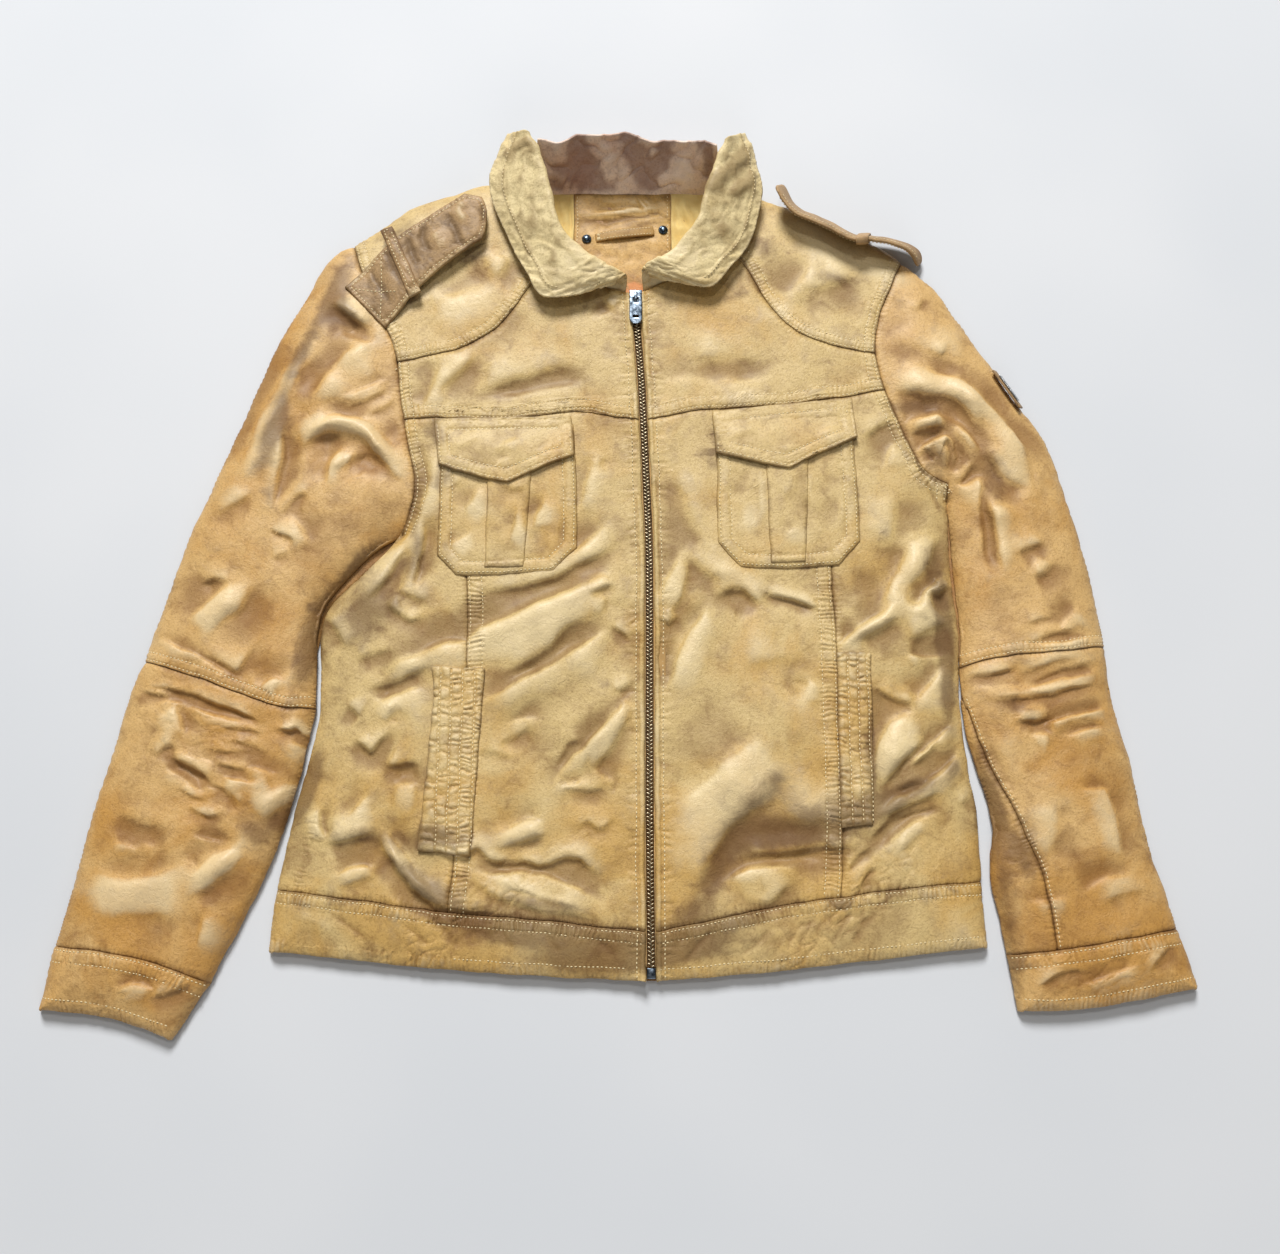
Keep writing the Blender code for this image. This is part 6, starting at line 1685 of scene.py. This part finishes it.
def woven(name, pale, dark, pitch):
    """Plain-woven cotton: fine ribs both ways, no shine."""
    made = Shader(name)
    place = made.place()
    ribs = [
        made.add("TexWave", 1, {"wave_type": "BANDS", "bands_direction": way}, Vector=place,
                 Scale=1 / (pitch * MM) / math.pi, Distortion=0.6)
        for way in ("X", "Y")
    ]
    weave = made.math("MULTIPLY", ribs[0], ribs[1])
    clouds = made.noise(24, 4, 0.6)
    tint = made.mix(made.ramp(clouds, 0.3, 0.7), dark, pale)
    tint = made.tint(weave, 0.35, tint, dark)
    made.set(Base_Color=tint, Roughness=0.85, Normal=made.bump(weave, 0.2, 0.7), Sheen_Weight=0.2)
    return made.material


BLUED = metal("metal_blued_steel", "#6E7C8A", "#2E3843", 0.28)
GUN = metal("metal_zip_slider", "#8894A0", "#3C4650", 0.3)
ANTIQUE = metal("metal_antique_brass_teeth", "#C9BA9C", "#75684F", 0.38)
PLATE = metal("metal_badge_plate", "#C9CBCC", "#8E9296", 0.25)
LINING = woven("cotton_gold_lining", "#EBD28C", "#D8B668", 0.5)
TAPE = woven("cotton_zip_tape", "#C29B60", "#9A7846", 0.9)

for name, skin in (("neck_facing", FACING_SKIN), ("lining_l", LINING), ("lining_r", LINING)):
    read_outline(name)
    applied_piece(name, skin, soft_height, [(0.2, -0.7), (0.0, -1.0)])
for x in (-41.0, 41.0):
    run = np.column_stack([np.full(100, x), np.linspace(352, 240, 100)])
    sew_places("neck_facing", "neck", run, soft_height)
add_hanger()
add_studs()
add_right_strap()


# ---------------------------------------------------------------- the zip
SLIDER_Y = 244.5
STOP_Y = -335.8
TEETH_Y = (234.5, -331.0)
TOOTH_PITCH = 1.6


def zip_x(y):
    return float(np.interp(-y, [-p[1] for p in ZIP_LINE], [p[0] for p in ZIP_LINE]))


def zip_height(places):
    return drape("body", places) + 0.5 * wrinkle_relief(places)


def bevelled_box(size, bevel, segments=2):
    bm = bmesh.new()
    bmesh.ops.create_cube(bm, size=1.0, matrix=Matrix.Diagonal((*size, 1.0)))
    bmesh.ops.bevel(
        bm, geom=bm.edges[:], offset=bevel, segments=segments, profile=0.5, affect="EDGES", material=-1)
    return bm


def add_copies(bm, part, places):
    mesh = bpy.data.meshes.new("part")
    part.to_mesh(mesh)
    part.free()
    for place in places:
        mesh.transform(place)
        bm.from_mesh(mesh)
        mesh.transform(place.inverted())
    bpy.data.meshes.remove(mesh)


def add_teeth():
    """Antique brass teeth in two rows that interlock down the front."""
    stops = np.arange(*TEETH_Y, -TOOTH_PITCH)
    line = np.array([(zip_x(y), y) for y in stops])
    tops = zip_height(line)
    places = []
    for k, ((x, y), top) in enumerate(zip(line, tops)):
        side = 1 if k % 2 else -1
        lean = Matrix.Rotation(side * math.radians(20), 4, "Z")
        places.append(Matrix.Translation((x + side * 1.1, y, top - 0.9)) @ lean)
    bm = bmesh.new()
    add_copies(bm, bevelled_box((3.5, 1.15, 2.0), 0.28, 1), places)
    make_object("zip_teeth", bm, ANTIQUE, "zip_chain", wall=0)


def add_tapes():
    for side in "lr":
        name = "zip_tape_" + side
        bm = plan_of(name)
        for longest in (15, 8, 4):
            subdivide(bm, [e for e in bm.edges if e.calc_length() > longest])
        places = plan_places(bm)
        for vert, top in zip(bm.verts, zip_height(places)):
            vert.co.z = top - 1.9
        area, sides = cut_size(bm)
        made = make_object(name + "_cotton", bm, TAPE, name, wall=0.7)
        lay_sheet(made, area, sides)


def add_slider():
    """The slider, at the top of the closed zip, with the bridge its tab hangs on."""
    x, y = zip_x(SLIDER_Y), SLIDER_Y
    bm = bevelled_box((11.2, 15.0, 1.5), 0.55, 3)
    bmesh.ops.translate(bm, vec=(x, y, 16.1), verts=bm.verts[:])
    add_copies(bm, bevelled_box((9.2, 14.2, 4.0), 0.5), [Matrix.Translation((x, y, 14.2))])
    half = [(4.6, 16.3), (4.3, 18.6), (2.6, 20.0)]
    arch = spline([(x, y - dy, z) for dy, z in half] + [(x, y + dy, z) for dy, z in half[::-1]], 28)
    run = unit(np.gradient(arch, axis=0))
    sides = np.repeat(np.array([[1.0, 0.0, 0.0]]), len(arch), axis=0)
    ring = strap_places(arch, sides, np.cross(run, sides), np.full(len(arch), 1.4), np.full(len(arch), 0.5), 12)
    other = grid_mesh(ring)
    bmesh.ops.remove_doubles(other, verts=other.verts[:], dist=0.01)
    add_copies(bm, other, [Matrix.Identity(4)])
    bmesh.ops.recalc_face_normals(bm, faces=bm.faces[:])
    make_object("zip_slider_body", bm, GUN, "zip_slider", wall=0)


def add_tab():
    """The pull tab: an eye round the bridge, a slotted plate and a round end."""
    rows = [0.7, -0.7, -2.4, -5.3, -8.0, -12.0, -15.0, -17.8, -20.2, -21.8, -23.2, -24.4, -25.2, -25.8]
    columns = [-1.0, -0.72, -0.45, -0.2, 0.2, 0.45, 0.72, 1.0]
    bm = bmesh.new()
    bmesh.ops.create_grid(bm, x_segments=len(columns) - 1, y_segments=len(rows) - 1, size=1.0)
    verts = bm.verts[:]
    for k, vert in enumerate(verts):
        share, y = columns[k % len(columns)], rows[k // len(columns)]
        half = 5.6
        if y < -20.2:
            half *= math.sqrt(max(0.04, 1 - ((y + 20.2) / 5.9) ** 2))
        if y > -2.4:
            half = 4.4 + 1.2 * (0.7 - y) / 3.1
        vert.co = (share * half, y, 0.0)
    holes = [f for f in bm.faces if abs(f.calc_center_median().x) < 2.6 and (
        -5.3 < f.calc_center_median().y < -0.7 or -20.2 < f.calc_center_median().y < -17.8)]
    bmesh.ops.delete(bm, geom=holes, context="FACES")
    bmesh.ops.translate(bm, vec=(12.2, SLIDER_Y, 18.2), verts=bm.verts[:])
    made = make_object("zip_pull_tab_plate", bm, GUN, "zip_pull_tab", wall=1.4, body="pull_tab")
    made.modifiers["Wall"].offset = 0.0
    edge = made.modifiers.new("Edge", "BEVEL")
    edge.width = 0.28 * MM
    edge.segments = 2
    edge.limit_method = "ANGLE"


def add_stop():
    bm = bevelled_box((7.2, 8.6, 3.0), 0.7)
    bmesh.ops.translate(bm, vec=(zip_x(STOP_Y), STOP_Y, 8.9), verts=bm.verts[:])
    make_object("zip_stop_box", bm, GUN, "zip_stop", wall=0)


def add_badge():
    """A bare leather badge on edge, with a plain plate."""
    turn = Matrix.Rotation(math.radians(-58.5), 4, "Z") @ Matrix.Rotation(math.radians(-58.0), 4, "X")
    place = Matrix.Translation((338.3, 159.2, 12.0)) @ turn
    bm = bevelled_box((41.0, 12.5, 1.8), 0.6, 3)
    bmesh.ops.transform(bm, matrix=place, verts=bm.verts[:])
    set_layers(bm, np.full(len(bm.verts), -0.5), np.full(len(bm.verts), 0.4), np.full(len(bm.verts), 0.3))
    make_object("badge_leather", bm, STRAP_SKIN, "badge", wall=0)
    bm = bevelled_box((27.0, 8.5, 1.2), 0.45, 3)
    bmesh.ops.transform(bm, matrix=place @ Matrix.Translation((0, 0, 1.8)), verts=bm.verts[:])
    make_object("badge_plate_steel", bm, PLATE, "badge_plate", wall=0)


add_teeth()
add_tapes()
add_slider()
add_tab()
add_stop()
add_badge()

THREAD = Shader("thread_waxed_linen")
THREAD.set(Base_Color=THREAD.mix(THREAD.noise(2.0, 2), "#EBDCB4", "#D6C08E"), Roughness=0.55)
for group, slot in STITCH_SLOTS.items():
    add_stitches(group, THREAD.material, slot)


# ---------------------------------------------------------------- the stage
CAMERA_LENS = 36.0 * 1283.6 / 1280
CAMERA_RISE = 77
CAMERA_AWAY = 1.09
CAMERA_TARGET = Vector((0.0165, -0.0575, 0.0))


def add_floor():
    """A plain painted studio floor, pale and slightly cool."""
    made = Shader("floor_paint")
    tint = made.mix(made.ramp(made.noise(400, 2), 0.3, 0.7), "#CDD0D4", "#D3D5D8")
    made.set(Base_Color=tint, Roughness=0.75)
    bm = bmesh.new()
    bmesh.ops.create_grid(bm, x_segments=1, y_segments=1, size=6.0)
    mesh = bpy.data.meshes.new("floor")
    bm.to_mesh(mesh)
    bm.free()
    mesh.materials.append(made.material)
    floor = into_scene("floor", mesh)
    floor.location.z = -0.0005


def add_light(name, place, size, power):
    data = bpy.data.lights.new(name, "AREA")
    data.shape = "DISK"
    data.size = size
    data.energy = power
    light = into_scene(name, data)
    light.location = place
    light.rotation_euler = (-Vector(place)).to_track_quat("-Z", "Y").to_euler()


def add_camera():
    data = bpy.data.cameras.new("camera")
    data.sensor_fit = "HORIZONTAL"
    data.lens = CAMERA_LENS
    camera = into_scene("camera", data)
    rise = math.radians(CAMERA_RISE)
    camera.location = CAMERA_TARGET + CAMERA_AWAY * Vector((0.0, -math.cos(rise), math.sin(rise)))
    camera.rotation_euler = (math.radians(90 - CAMERA_RISE), 0.0, 0.0)
    bpy.context.scene.camera = camera


def set_stage():
    add_floor()
    add_camera()
    add_light("key", (-0.65, 4.3, 4.05), 2.0, 425)
    add_light("window", (0.1, 0.95, 3.3), 0.5, 15)
    add_light("fill", (0.2, -2.2, 1.3), 1.6, 10)
    world = bpy.data.worlds.new("studio")
    world.use_nodes = True
    glow = world.node_tree.nodes["Background"].inputs
    glow["Color"].default_value = linear("#EFEBE4")
    glow["Strength"].default_value = 0.21
    bpy.context.scene.world = world
    bpy.context.scene.view_settings.view_transform = "Standard"


set_stage()
